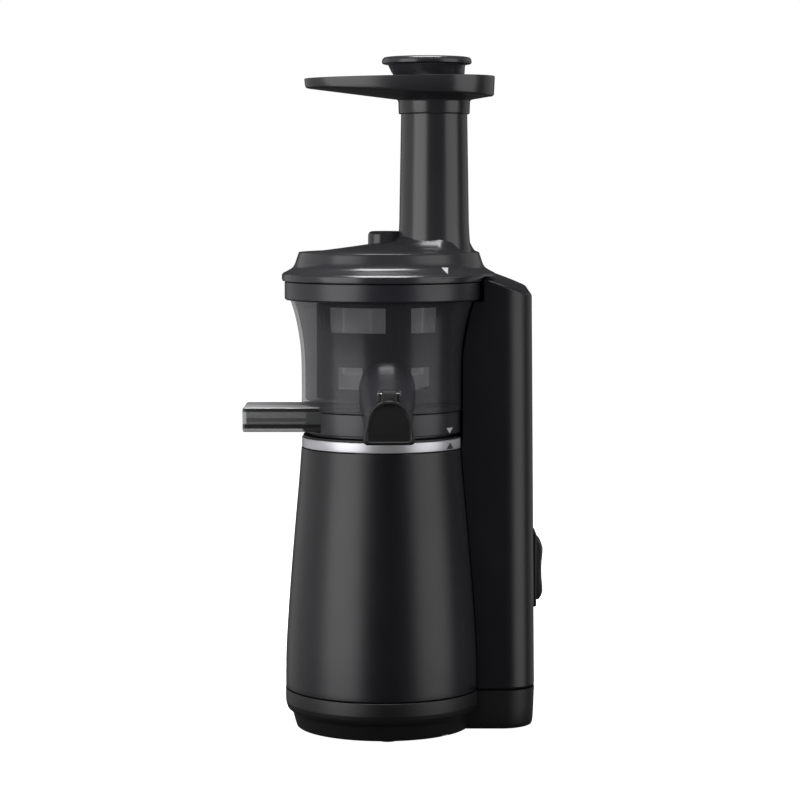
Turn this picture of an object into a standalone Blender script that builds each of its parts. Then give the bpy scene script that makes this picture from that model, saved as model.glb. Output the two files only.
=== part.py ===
"""Vertical slow juicer with a screw press, as an assembly of separate pieces.

Frame: the drive axis is the Z axis, z = 0 is the underside of the base plate, -Y is the side with the
juice spout, -X the side with the pulp chute, +X +Y the side with the tower.
Lengths below are in millimetres; MM turns them into metres. Heights below count from a datum, the level
of the motor's footing, which lies DATUM above the underside; add_object lifts every piece by that much.
"""
import math

import bmesh
import bpy
from mathutils import Matrix, Vector

MM = 0.001
GAP = 0.35                     # between pieces that touch

# ---- driving dimensions -------------------------------------------------------------------------
SIDES = 36                     # facets round a large turned piece
SMALL_SIDES = 16
DATUM = 5.5
FOOT_HEIGHT = 1.5
BASE_TOP = 20.0
COLUMN_TOP = 178.2
COLUMN = [(BASE_TOP, 64.1), (45, 63.7), (76, 61.8), (107, 59.4), (139, 56.6), (154, 55.2),
          (COLUMN_TOP, 53.3)]                               # height, radius
BASE_RING = [(-DATUM, 56.8), (-2.5, 57.8), (2.6, 59.2), (4.4, 59.8), (7.0, 62.9), (9.0, 63.6),
             (11.5, 64.1), (BASE_TOP, 64.2)]                # height, radius
COLUMN_WALL = 2.5
TOWER_X = (-24.0, 96.8)        # at the top
TOWER_Y = (-17.0, 91.8)
TOWER_DRAFT = 2.6              # how much further each side stands out at the foot
TOWER_CORNER = 20.0
TOWER_TOP = 289.0
TOWER_WALL = 3.0
FOLD_FRONT = 60.0              # where the sloping top starts, along X, far in front of the tower
FOLD_BACK = 79.0               # the same, far behind it
TOWER_SLOPE = math.radians(20)

DECK_TOP = 186.5
BAND = (178.5, 185.0, 53.0)    # bottom, top, radius of the metal band
BOWL_FLOOR = (206.5, 209.0)
BOWL_WALL = 2.4
BOWL = [(203, 53.2), (238, 53.2), (250, 54.5), (261, 56.5), (267, 57.8), (274, 59.5)]
RIM = (274.0, 286.0, 64.0)
CHUTE = ((-90.0, -34.0, 190.2), (-13.5, 12.5, 206.2))
CHUTE_WALL = 2.0
PULP_HOLE = ((-31.5, -10.5), (-15.3, 10.5))
SPOUT_TURN = math.radians(3.3)
CAP_HINGE = (0.0, -70.6, 217.5)          # before the spout's turn
CAP_FACE = 72.6                           # inner face of the cap, out from the axis
CAP_DOME = (200.1, 14.2)                  # centre height and radius of the cap's round top
EAR_REACH = 6.4                           # from the spout's middle to each hinge ear

TUBE = (33.0, -8.0)
TUBE_TOP = 402.0
TUBE_BORE = 18.7
TRAY_TOP = 418.0
TRAY_RADIUS = 39.0
TRAY_TIP = -50.6               # the tray's far end, along X
PUSHER_SHIFT = -4.8
PUSHER_TOP = 430.0

GEAR_MODULE = 0.8
PINION_TEETH = 12
WHEEL_TEETH = 44
GEAR_CENTRES = (PINION_TEETH + WHEEL_TEETH) * GEAR_MODULE / 2
LEVEL = [(88.0, 95.0), (97.0, 104.0), (106.0, 114.0)]
HEXAGON = 5.6                  # the shaft's top, across the corners, from the axis
BRUSH_MODULE = 1.25
AUGER_TEETH = 18
IDLER_TEETH = 22
RING_TEETH = 62
IDLER_REACH = (AUGER_TEETH + IDLER_TEETH) * BRUSH_MODULE / 2
IDLER_ANGLE = math.radians(60)
BRUSH_LEVEL = (211.0, 217.0)
CAGE = (41.8, 43.4, 283.0)     # inner radius, outer radius, top
BLADE_ANGLES = [math.radians(-77.2), math.radians(102.8)]

FOOT_SPOTS = {"foot_front": (3, -46), "foot_left": (-42, 16), "foot_right": (74, 4), "foot_rear": (56, 74),
              "foot_rear_left": (-2, 74)}
SCREW_SPOTS = [(38, -38), (-36, -34), (84, 60), (20, 80)]
SWITCH = (98.8, 30.0, 94.0)
ROCKER_PIVOT = (SWITCH[0] - 2.0, SWITCH[1], SWITCH[2])
CORD_SPOT = (30.0, 39.5)       # the cord gland's place on the back, along X and up

# ---- finishes: colour (sRGB), roughness, metallic, alpha -----------------------------------------
LIFT = Vector((0, 0, DATUM * MM))
FINISHES = {
    "satin_black": ((0.11, 0.11, 0.125), 0.42, 0.0, 1.0),
    "base_black": ((0.10, 0.10, 0.11), 0.60, 0.0, 1.0),
    "gloss_grey": ((0.20, 0.20, 0.21), 0.22, 0.0, 1.0),
    "smoke_clear": ((0.30, 0.30, 0.32), 0.10, 0.0, 0.45),
    "metal_band": ((0.75, 0.75, 0.77), 0.30, 1.0, 1.0),
    "steel": ((0.70, 0.70, 0.70), 0.25, 1.0, 1.0),
    "cap_black": ((0.05, 0.05, 0.055), 0.55, 0.0, 1.0),
    "rubber": ((0.06, 0.06, 0.06), 0.80, 0.0, 1.0),
    "silicone": ((0.16, 0.16, 0.17), 0.65, 0.0, 1.0),
    "auger_resin": ((0.14, 0.14, 0.15), 0.40, 0.0, 1.0),
    "gear_nylon": ((0.85, 0.84, 0.80), 0.45, 0.0, 1.0),
    "bronze": ((0.70, 0.50, 0.30), 0.40, 1.0, 1.0),
    "board_green": ((0.10, 0.30, 0.16), 0.60, 0.0, 1.0),
}


def linear(value):
    """One sRGB channel as a linear value."""
    return value / 12.92 if value <= 0.04045 else ((value + 0.055) / 1.055) ** 2.4


def make_material(name):
    colour, roughness, metallic, alpha = FINISHES[name]
    material = bpy.data.materials.new(name)
    material.use_nodes = True
    shader = material.node_tree.nodes["Principled BSDF"]
    shader.inputs["Base Color"].default_value = (*[linear(c) for c in colour], 1.0)
    shader.inputs["Roughness"].default_value = roughness
    shader.inputs["Metallic"].default_value = metallic
    shader.inputs["Alpha"].default_value = alpha
    return material


# ---- modelling helpers ---------------------------------------------------------------------------
def add_object(name, bm, finish=None, pivot=(0, 0, 0), turn=0.0):
    """Lift the mesh from the datum, put its origin on the pivot, and link it; no finish makes it a cutter."""
    bmesh.ops.remove_doubles(bm, verts=bm.verts, dist=1e-6)
    bmesh.ops.recalc_face_normals(bm, faces=bm.faces)
    origin = Matrix.Rotation(turn, 4, "Z") @ (Vector(pivot) * MM) + LIFT
    bm.transform(Matrix.Translation(LIFT - origin) @ Matrix.Rotation(turn, 4, "Z"))
    mesh = bpy.data.meshes.new(name)
    bm.to_mesh(mesh)
    bm.free()
    obj = bpy.data.objects.new(name, mesh)
    obj.location = origin
    bpy.context.scene.collection.objects.link(obj)
    if finish is None:
        obj.hide_render = True
        obj.display_type = "WIRE"
    else:
        mesh.materials.append(MATERIALS[finish])
        mesh.shade_smooth()
        mesh.set_sharp_from_angle(angle=math.radians(35))
    return obj


def turned(name, profile, finish=None, centre=(0, 0), sides=SIDES, **place):
    """A closed outline of (radius, height) points, turned about a vertical axis."""
    bm = bmesh.new()
    verts = [bm.verts.new((r * MM, 0, z * MM)) for r, z in profile]
    edges = []
    for start, end in zip(verts, verts[1:] + verts[:1]):
        if start.co.x > 0 or end.co.x > 0:
            edges.append(bm.edges.new((start, end)))
    bmesh.ops.spin(bm, geom=verts + edges, cent=(0, 0, 0), axis=(0, 0, 1), angle=2 * math.pi,
                   steps=sides, use_duplicate=False)
    bmesh.ops.translate(bm, verts=bm.verts, vec=(centre[0] * MM, centre[1] * MM, 0))
    return add_object(name, bm, finish, **place)


def ring(name, inner, outer, low, high, finish=None, **options):
    """A plain ring, or a disc when the inner radius is 0."""
    profile = [(inner, low), (outer, low), (outer, high), (inner, high)]
    return turned(name, profile, finish, **options)


def lofted(name, loops, finish=None, endless=False, **place):
    """Loops of points with equal counts, bridged in order; an endless loft closes on its first loop."""
    bm = bmesh.new()
    rings = [[bm.verts.new(Vector(point) * MM) for point in loop] for loop in loops]
    pairs = list(zip(rings, rings[1:]))
    if endless:
        pairs.append((rings[-1], rings[0]))
    count = len(rings[0])
    for low, high in pairs:
        for i in range(count):
            j = (i + 1) % count
            bm.faces.new((low[i], low[j], high[j], high[i]))
    if not endless:
        bm.faces.new(rings[0])
        bm.faces.new(rings[-1])
    return add_object(name, bm, finish, **place)


def prism(name, outline, low, high, finish=None, **place):
    """A flat outline of (x, y) points, raised from low to high."""
    loops = [[(x, y, z) for x, y in outline] for z in (low, high)]
    return lofted(name, loops, finish, **place)


def side_prism(name, outline, half_width, finish=None, **place):
    """An outline of (distance out, height) points seen from the side, extruded along X."""
    loops = [[(x, -out, z) for out, z in outline] for x in (-half_width, half_width)]
    return lofted(name, loops, finish, **place)


def block(name, low, high, finish=None, **place):
    outline = [(low[0], low[1]), (high[0], low[1]), (high[0], high[1]), (low[0], high[1])]
    return prism(name, outline, low[2], high[2], finish, **place)


def combine(obj, operation, *others):
    """Join or cut an object with helpers, which the build leaves out."""
    for other in others:
        modifier = obj.modifiers.new(operation.lower(), "BOOLEAN")
        modifier.operation = operation
        modifier.object = other
        modifier.solver = "EXACT"


def lattice_wall(name, windows, low, high, inner, outer, finish=None, **place):
    """A round wall with windows: each is (start, end, bottom, top), angles in degrees from +X."""
    marks = sorted({round(angle % 360, 3) for window in windows for angle in window[:2]})
    angles = []
    for start, end in zip(marks, marks[1:] + [marks[0] + 360]):
        steps = math.ceil((end - start) / 12)
        angles += [start + (end - start) * k / steps for k in range(steps)]
    heights = sorted({low, high} | {height for window in windows for height in window[2:]})
    columns, rows = len(angles), len(heights) - 1

    def is_solid(column, row):
        if not 0 <= row < rows:
            return False
        column %= columns
        after = angles[column + 1] if column + 1 < columns else angles[0] + 360
        angle = (angles[column] + after) / 2
        middle = (heights[row] + heights[row + 1]) / 2
        return not any((angle - start) % 360 < end - start and bottom < middle < top
                       for start, end, bottom, top in windows)

    bm = bmesh.new()
    corners = {}

    def corner(column, row, radius):
        key = (column % columns, row, radius)
        if key not in corners:
            angle = math.radians(angles[key[0]])
            point = (radius * math.cos(angle), radius * math.sin(angle), heights[row])
            corners[key] = bm.verts.new(Vector(point) * MM)
        return corners[key]

    def face(*keys):
        bm.faces.new([corner(*key) for key in keys])

    for i in range(columns):
        for j in range(rows):
            if not is_solid(i, j):
                continue
            for radius in (inner, outer):
                face((i, j, radius), (i + 1, j, radius), (i + 1, j + 1, radius), (i, j + 1, radius))
            for row, beyond in ((j, j - 1), (j + 1, j + 1)):
                if not is_solid(i, beyond):
                    face((i, row, inner), (i + 1, row, inner), (i + 1, row, outer), (i, row, outer))
            for column, beyond in ((i, i - 1), (i + 1, i + 1)):
                if not is_solid(beyond, j):
                    foot, head = (column, j), (column, j + 1)
                    face((*foot, inner), (*head, inner), (*head, outer), (*foot, outer))
    return add_object(name, bm, finish, **place)


def circle(centre, radius, height, count=SIDES):
    """Points round a circle, as one loop of a loft."""
    angles = [2 * math.pi * i / count for i in range(count)]
    return [(centre[0] + radius * math.cos(a), centre[1] + radius * math.sin(a), height) for a in angles]


def rounded_rectangle(low, high, radius, arc_steps=5):
    corners = [((high[0] - radius, high[1] - radius), 0), ((low[0] + radius, high[1] - radius), 90),
               ((low[0] + radius, low[1] + radius), 180), ((high[0] - radius, low[1] + radius), 270)]
    points = []
    for (x, y), start in corners:
        for step in range(arc_steps + 1):
            angle = math.radians(start + 90 * step / arc_steps)
            points.append((x + radius * math.cos(angle), y + radius * math.sin(angle)))
    return points


def offset_profile(profile, change):
    """(height, radius) pairs as (radius, height) pairs with the radius changed."""
    return [(radius + change, height) for height, radius in profile]


# ---- gears ---------------------------------------------------------------------------------------
TOOTH_TIP = 0.8                # tooth height above the pitch circle, in modules
TOOTH_ROOT = 1.1               # tooth depth below it
TIP_SHARE = 0.11               # half of a tooth's width at its tip and root, as shares of the pitch
ROOT_SHARE = 0.27


def tooth_outline(teeth, module, phase=0.0, inward=False):
    """A gear's outline with straight-flanked teeth; an inward one is the hole of a ring gear."""
    pitch = 2 * math.pi / teeth
    sign = -1 if inward else 1
    root = teeth * module / 2 - sign * TOOTH_ROOT * module
    tip = teeth * module / 2 + sign * TOOTH_TIP * module
    points = []
    for k in range(teeth):
        for radius, share in ((root, -ROOT_SHARE), (tip, -TIP_SHARE), (tip, TIP_SHARE), (root, ROOT_SHARE)):
            angle = phase + (k + share) * pitch
            points.append((radius * math.cos(angle), radius * math.sin(angle)))
    return points


def moved(points, centre):
    return [(x + centre[0], y + centre[1]) for x, y in points]


def mesh_phase(phase, teeth, direction, other_teeth):
    """The phase that lets a second gear mesh with a first one, seen in a direction from the first."""
    turns = (direction - phase) / (2 * math.pi / teeth)
    return direction + math.pi + (turns + 0.5) * 2 * math.pi / other_teeth


def clear_scene():
    for obj in list(bpy.data.objects):
        bpy.data.objects.remove(obj, do_unlink=True)


# ---- the base: tray, column, tower, deck ---------------------------------------------------------
def tower_outline(grow, inward=0.0):
    """The tower's plan, grown by its draft and drawn in by a wall."""
    low = (TOWER_X[0] - grow + inward, TOWER_Y[0] - grow + inward)
    high = (TOWER_X[1] + grow - inward, TOWER_Y[1] + grow - inward)
    return rounded_rectangle(low, high, TOWER_CORNER - inward)


def tower_block(name, low, high, inward, finish=None):
    """A drafted block of the tower's plan between two heights."""
    loops = []
    for height in (low, high):
        grow = TOWER_DRAFT * (TOWER_TOP - height) / (TOWER_TOP - BASE_TOP)
        loops.append([(x, y, height) for x, y in tower_outline(grow, inward)])
    return lofted(name, loops, finish)


def hollow_profile(extra):
    """The column and the bowl above it, as the tower must clear them."""
    points = [(0, 5), (64.6 + extra, 5)]
    points += offset_profile(COLUMN, 0.5 + extra)
    points += [(54.6 + extra, 186), (54.6 + extra, 240), (58.2 + extra, 262), (61.2 + extra, 273)]
    points += [(67.4 + extra, 273.4), (67.4 + extra, 310), (0, 310)]
    return points


def slope_cutter(name, drop):
    """What lies above the tower's top, which slopes down to the right; drop lowers it by a wall."""
    far, near_y, far_y, above = 130, -60, 140, 340
    fall = math.tan(TOWER_SLOPE)
    loops = []
    for y, start in ((near_y, FOLD_FRONT), (far_y, FOLD_BACK)):
        top = TOWER_TOP - drop
        outline = [(start - 4, top + 4 * fall), (far, top - (far - start) * fall), (far, above),
                   (start - 4, above)]
        loops.append([(x, y, z) for x, z in outline])
    return lofted(name, loops)


def build_base_tray():
    floor, wall = 3.1, 3.2
    tray = turned("base_tray", [(0, -DATUM)] + offset_profile(BASE_RING, 0) + [(0, BASE_TOP)], "base_black")
    lift = [(-DATUM, 1.4), (-2.0, 0.9), (8.0, 0.4), (BASE_TOP, 0.0)]       # height, inset of the tower's foot
    for name, inward, rise in (("cut_tray_block", 0.0, 0.0), ("cut_tray_inner_block", wall, floor)):
        loops = [[(x, y, height + rise) for x, y in tower_outline(TOWER_DRAFT - inset, inward)]
                 for height, inset in lift]
        combine(tray, "DIFFERENCE" if inward else "UNION", lofted(name, loops))
    room = [(0, floor - DATUM), (53.5, floor - DATUM), (60.3, 10), (61, 30), (0, 30)]
    combine(tray, "DIFFERENCE", turned("cut_tray_inner", room))
    for index, spot in enumerate(SCREW_SPOTS, 1):
        hole = [(0, -1), (4, -1), (4, 1.6), (2, 1.6), (2, 8), (0, 8)]
        screw = [(0, 0.3), (3.4, 0.3), (3.4, 1.2), (1.5, 1.2), (1.5, 14), (0, 14)]
        cutter = turned(f"cut_screw_{index}", sunk(hole), centre=spot, sides=SMALL_SIDES)
        combine(tray, "DIFFERENCE", cutter)
        turned(f"base_screw_{index}", sunk(screw), "steel", centre=spot, sides=12)


def sunk(profile):
    """A profile whose heights count from the underside, as one that counts from the datum."""
    return [(radius, height - DATUM) for radius, height in profile]


def build_tower():
    shell = tower_block("tower_shell", BASE_TOP + GAP, TOWER_TOP, 0.0, "satin_black")
    room = tower_block("cut_tower_room", BASE_TOP - 5, TOWER_TOP - TOWER_WALL, TOWER_WALL)
    combine(room, "DIFFERENCE", turned("cut_room_column", hollow_profile(2.6)),
            slope_cutter("cut_room_slope", TOWER_WALL))
    window_low = (80, SWITCH[1] - 12.6, SWITCH[2] - 22)
    window_high = (120, SWITCH[1] + 12.6, SWITCH[2] + 22)
    cord_hole = turned("cut_cord_hole", sunk([(0, -6), (6.4, -6), (6.4, 12), (0, 12)]), sides=SMALL_SIDES)
    gland = turned("cord_gland", sunk([(3.2, -8.5), (5.8, -8.5), (6.0, -3.4), (6.0, 0.2), (8.6, 0.2),
                                       (8.4, 2.4), (5.0, 3.0), (3.2, 3.0)]), "rubber", sides=SMALL_SIDES)
    back = TOWER_Y[1] + TOWER_DRAFT * (TOWER_TOP - CORD_SPOT[1]) / (TOWER_TOP - BASE_TOP)
    for piece, out in ((cord_hole, -3.0), (gland, 0.6)):
        turn = Matrix.Rotation(math.radians(-90), 4, "X")
        place = Matrix.Translation(Vector((CORD_SPOT[0], back + out, CORD_SPOT[1] + DATUM)) * MM)
        piece.data.transform(place @ turn @ Matrix.Translation(piece.location))
        piece.location = (0, 0, 0)
    combine(shell, "DIFFERENCE", turned("cut_tower_column", hollow_profile(0.0)),
            slope_cutter("cut_tower_slope", 0.0), room,
            block("cut_switch_window", window_low, window_high), cord_hole)


def build_casings():
    build_base_tray()
    build_tower()
    column_outer = offset_profile([(BASE_TOP + GAP, COLUMN[0][1])] + COLUMN[1:], 0)
    column_inner = offset_profile([(BASE_TOP + GAP, COLUMN[0][1])] + COLUMN[1:], -COLUMN_WALL)
    turned("front_housing", column_outer + column_inner[::-1], "satin_black")
    deck = [(8.7, 181), (50, 181), (50, 185.3), (52.2, 185.3), (52.2, DECK_TOP), (8.7, DECK_TOP)]
    turned("top_deck", deck, "base_black")
    ring("silver_band", 50.35, BAND[2], BAND[0], BAND[1], "metal_band")
    ring("shaft_seal", 6.35, 8.35, 182, 186.2, "rubber", sides=SMALL_SIDES)
    for name, spot in FOOT_SPOTS.items():
        ring(name, 0, 6.0, -DATUM - FOOT_HEIGHT, -DATUM - GAP, "rubber", centre=spot, sides=SMALL_SIDES)


def build_switch():
    x, y, z = SWITCH
    bezel = block("switch_bezel", (x + GAP, y - 15, z - 24.5), (x + 2.6, y + 15, z + 24.5), "base_black")
    window = block("cut_bezel", (x - 5, y - 12.4, z - 21.8), (x + 9, y + 12.4, z + 21.8))
    combine(bezel, "DIFFERENCE", window)
    half = [(1, 20.5), (4.5, 20.0), (7, 16), (6.4, 0)]                   # out from the side, up or down
    back = [(-0.5, 8), (-5, 4)]
    outline = [(x + out, z - up) for out, up in half] + [(x + out, z + up) for out, up in half[-2::-1]]
    outline += [(x + out, z + up) for out, up in back] + [(x + out, z - up) for out, up in back[::-1]]
    loops = [[(px, py, pz) for px, pz in outline] for py in (y - 11.6, y + 11.6)]
    lofted("switch_rocker", loops, "gloss_grey", pivot=ROCKER_PIVOT)
    block("switch_body", (x - 26, y - 12, z - 16), (x - 8, y + 12, z + 16), "rubber")
    block("control_board", (x - 24, y - 22, 150), (x - 22, y + 30, 230), "board_green")
    block("bowl_safety_switch", (-6, 24, 168), (6, 36, 180.5), "rubber")


# ---- motor and gear train ------------------------------------------------------------------------
def hexagon(radius):
    """The shaft's hexagon, or with a larger radius the socket that it drives."""
    angles = [math.radians(60 * k) for k in range(6)]
    return [(radius * math.cos(a), radius * math.sin(a)) for a in angles]


def build_drive():
    spot_a = (GEAR_CENTRES, 0.0)
    spot_b = (GEAR_CENTRES * math.cos(math.radians(60)), GEAR_CENTRES * math.sin(math.radians(60)))
    shaft = 2.5

    turned("motor_bracket", [(8.4, 17), (42, 17), (42, 28), (39.8, 28), (39.8, 21), (8.4, 21)], "steel")
    ring("lower_bearing", 3.35, 8.0, 17.2, 20.8, "bronze", sides=SMALL_SIDES)
    ring("motor_stator", 22.0, 39.4, 30, 76, "steel")
    ring("upper_bearing", 3.35, 8.0, 82.2, 85.2, "bronze", sides=SMALL_SIDES)
    stepped = [(0, 16), (3, 16), (3, 32), (21, 32), (21, 74), (3, 74), (3, 96.4), (0, 96.4)]
    rotor = turned("motor_rotor", stepped, "steel", sides=32)
    phase_rotor = 0.0
    pinion = tooth_outline(PINION_TEETH, GEAR_MODULE, phase_rotor)
    combine(rotor, "UNION", prism("cut_rotor_pinion", pinion, LEVEL[0][0] - 0.5, LEVEL[0][1] + 0.5))

    def double_gear(name, centre, level, wheel_phase, pinion_phase):
        wheel = moved(tooth_outline(WHEEL_TEETH, GEAR_MODULE, wheel_phase), centre)
        pinion = moved(tooth_outline(PINION_TEETH, GEAR_MODULE, pinion_phase), centre)
        gear = prism(name, wheel, *LEVEL[level], "gear_nylon", pivot=(*centre, 0))
        teeth = prism(f"cut_{name}_pinion", pinion, LEVEL[level][1] - 1, LEVEL[level + 1][1] + 0.5)
        axle = ring(f"cut_{name}_axle", 0, shaft, 84.0, 119.6, centre=centre, sides=SMALL_SIDES)
        combine(gear, "UNION", teeth, axle)

    wheel_a = mesh_phase(phase_rotor, PINION_TEETH, 0.0, WHEEL_TEETH)
    direction_ab = math.atan2(spot_b[1] - spot_a[1], spot_b[0] - spot_a[0])
    wheel_b = mesh_phase(0.0, PINION_TEETH, direction_ab, WHEEL_TEETH)
    direction_bo = math.atan2(-spot_b[1], -spot_b[0])
    wheel_o = mesh_phase(0.0, PINION_TEETH, direction_bo, WHEEL_TEETH)
    double_gear("gear_a", spot_a, 0, wheel_a, 0.0)
    double_gear("gear_b", spot_b, 1, wheel_b, 0.0)

    output = prism("drive_shaft", tooth_outline(WHEEL_TEETH, GEAR_MODULE, wheel_o), *LEVEL[2], "steel")
    combine(output, "UNION", ring("cut_shaft_round", 0, 6.0, 113, 188, sides=SMALL_SIDES),
            prism("cut_shaft_hexagon", hexagon(HEXAGON), 187, 226))

    pot = [(8.4, 82), (46, 82), (46, 118), (43.5, 118), (43.5, 85.5), (8.4, 85.5)]
    housing = turned("gearbox_housing", pot, "satin_black")
    cover = ring("gearbox_cover", 6.4, 46, 118.35, 122, "satin_black")
    for index, spot in enumerate((spot_a, spot_b), 1):
        round_hole = {"centre": spot, "sides": SMALL_SIDES}
        seat = ring(f"cut_axle_seat_{index}", 0, shaft + GAP, 83.4, 90, **round_hole)
        cap = ring(f"cut_axle_cap_{index}", 0, shaft + GAP, 110, 120.2, **round_hole)
        combine(housing, "DIFFERENCE", seat)
        combine(cover, "DIFFERENCE", cap)


# ---- bowl with spout, chute and cap --------------------------------------------------------------
def build_bowl():
    outer = offset_profile(BOWL, 0)
    inner = offset_profile(BOWL, -BOWL_WALL)
    inside, hub_hole = BOWL[0][1] - BOWL_WALL, 10.5
    inner[0] = (inside, BOWL_FLOOR[1])
    profile = outer + [(RIM[2], RIM[0] + 0.4), (RIM[2], RIM[1]), (58.4, RIM[1]), (58.4, RIM[0] + 4)]
    profile += inner[::-1]
    profile += [(hub_hole, BOWL_FLOOR[1]), (hub_hole, BOWL_FLOOR[0]), (inside, BOWL_FLOOR[0])]
    profile += [(inside, BOWL[0][0])]
    bowl = turned("bowl", profile, "smoke_clear")
    (left, near, low), (right, far, high) = CHUTE
    notch = block("cut_bowl_notch", (-62, near - GAP, 195), (-30, far + GAP, BOWL_FLOOR[0] - 0.02))
    (hole_left, hole_near), (hole_right, hole_far) = PULP_HOLE
    pulp_hole = block("cut_bowl_pulp_hole", (hole_left, hole_near, 200), (hole_right, hole_far, 215))
    spout_hole = block("cut_bowl_spout_hole", (-11, -57, 211.5), (11, -45, 229), turn=SPOUT_TURN)
    combine(bowl, "DIFFERENCE", notch, pulp_hole, spout_hole)

    collar = [(20, 188.6), (40, 188.6), (40, 186.85), (48, 186.85), (48, 188.6), (52.5, 188.6),
              (52.5, 202.7), (50, 202.7), (50, 189.8), (20, 189.8)]
    base = turned("bowl_base", collar, "satin_black")
    combine(base, "DIFFERENCE", block("cut_base_notch", (-62, near - GAP, low - GAP), (-30, far + GAP, 215)))

    chute = block("pulp_chute", *CHUTE, "smoke_clear")
    room = block("cut_chute_room", (left - 10, near + CHUTE_WALL, low + CHUTE_WALL),
                 (right - CHUTE_WALL, far - CHUTE_WALL, high - CHUTE_WALL))
    mouth = block("cut_chute_mouth", (hole_left, hole_near, low + 5), (hole_right, hole_far, high + 5))
    combine(chute, "DIFFERENCE", room, mouth)

    hood = [(50, 189), (71.5, 187.5), (71.5, 213.5), (66.5, 215), (66, 220), (62, 229), (54.5, 236.5),
            (50, 236.5)]
    spout = side_prism("juice_spout", hood, 15.0, "smoke_clear", turn=SPOUT_TURN)
    channel = [(45, 211.5), (54, 211.5), (66, 190.5), (80, 190.5), (80, 208.4), (64.5, 212), (57, 229),
               (45, 229)]
    body = ring("cut_spout_body", 0, BOWL[0][1] + GAP, 150, 238)
    ear_side = [(64, 214), (69, 212.5), (72.6, 215), (72.6, 219), (70, 220.2), (64, 220)]
    for side, shift in (("left", -EAR_REACH), ("right", EAR_REACH)):
        ear = side_prism(f"cut_ear_{side}", ear_side, 1.3)
        ear.data.transform(Matrix.Rotation(SPOUT_TURN, 4, "Z") @ Matrix.Translation((shift * MM, 0, 0)))
        combine(spout, "UNION", ear)
    combine(spout, "DIFFERENCE", body, side_prism("cut_spout_channel", channel, 11.0, turn=SPOUT_TURN))
    pin_hole = ring("cut_pin_hole", 0, 1.35, -14 - DATUM, 14 - DATUM, sides=SMALL_SIDES)
    pin = ring("cap_hinge_pin", 0, 1.0, -7.4 - DATUM, 7.4 - DATUM, "steel", sides=SMALL_SIDES)
    lay_flat = Matrix.Rotation(math.radians(90), 4, "Y")
    to_hinge = Matrix.Rotation(SPOUT_TURN, 4, "Z") @ Matrix.Translation(Vector(CAP_HINGE) * MM)
    for piece in (pin_hole, pin):
        piece.data.transform(to_hinge @ lay_flat @ Matrix.Translation(LIFT))
    combine(spout, "DIFFERENCE", pin_hole)

    ring("bowl_seal", 8.35, 10.15, 206.6, 208.9, "silicone", sides=32)
    return pin_hole


def build_cap(pin_hole):
    """The hinged drip-stop cap: a domed plate, a neck, a barrel, and a soft pad that shuts the spout."""
    outline = [(-14.4, 186.0), (14.4, 186.0), (16.2, 187.8), (16.0, 192.0)]
    middle, radius = CAP_DOME
    for step in range(9):
        angle = math.radians(5 + 170 * step / 8)
        outline.append((radius * math.cos(angle), middle + radius * math.sin(angle)))
    outline += [(-16.0, 192.0), (-16.2, 187.8)]
    loops = [[(x, -y, z) for x, z in outline] for y in (CAP_FACE, CAP_FACE + 3.0)]
    cap = lofted("juice_cap", loops, "cap_black", pivot=CAP_HINGE, turn=SPOUT_TURN)
    neck = [(69.2, 215.2), (72.2, 213.4), (CAP_FACE + 0.6, 205), (CAP_FACE + 2.4, 205), (75.2, 214),
            (73.6, 219.6), (70.6, 220.8), (68.4, 219.4), (67.8, 217.2)]
    combine(cap, "UNION", side_prism("cut_cap_neck", neck, 4.7, turn=SPOUT_TURN))
    combine(cap, "DIFFERENCE", pin_hole)
    pad = [(-10.4, 192), (10.4, 192), (10.4, 207.6), (-10.4, 207.6)]
    loops = [[(x, -y, z) for x, z in pad] for y in (71.0, CAP_FACE - GAP)]
    lofted("cap_pad", loops, "silicone", pivot=CAP_HINGE, turn=SPOUT_TURN)


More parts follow.
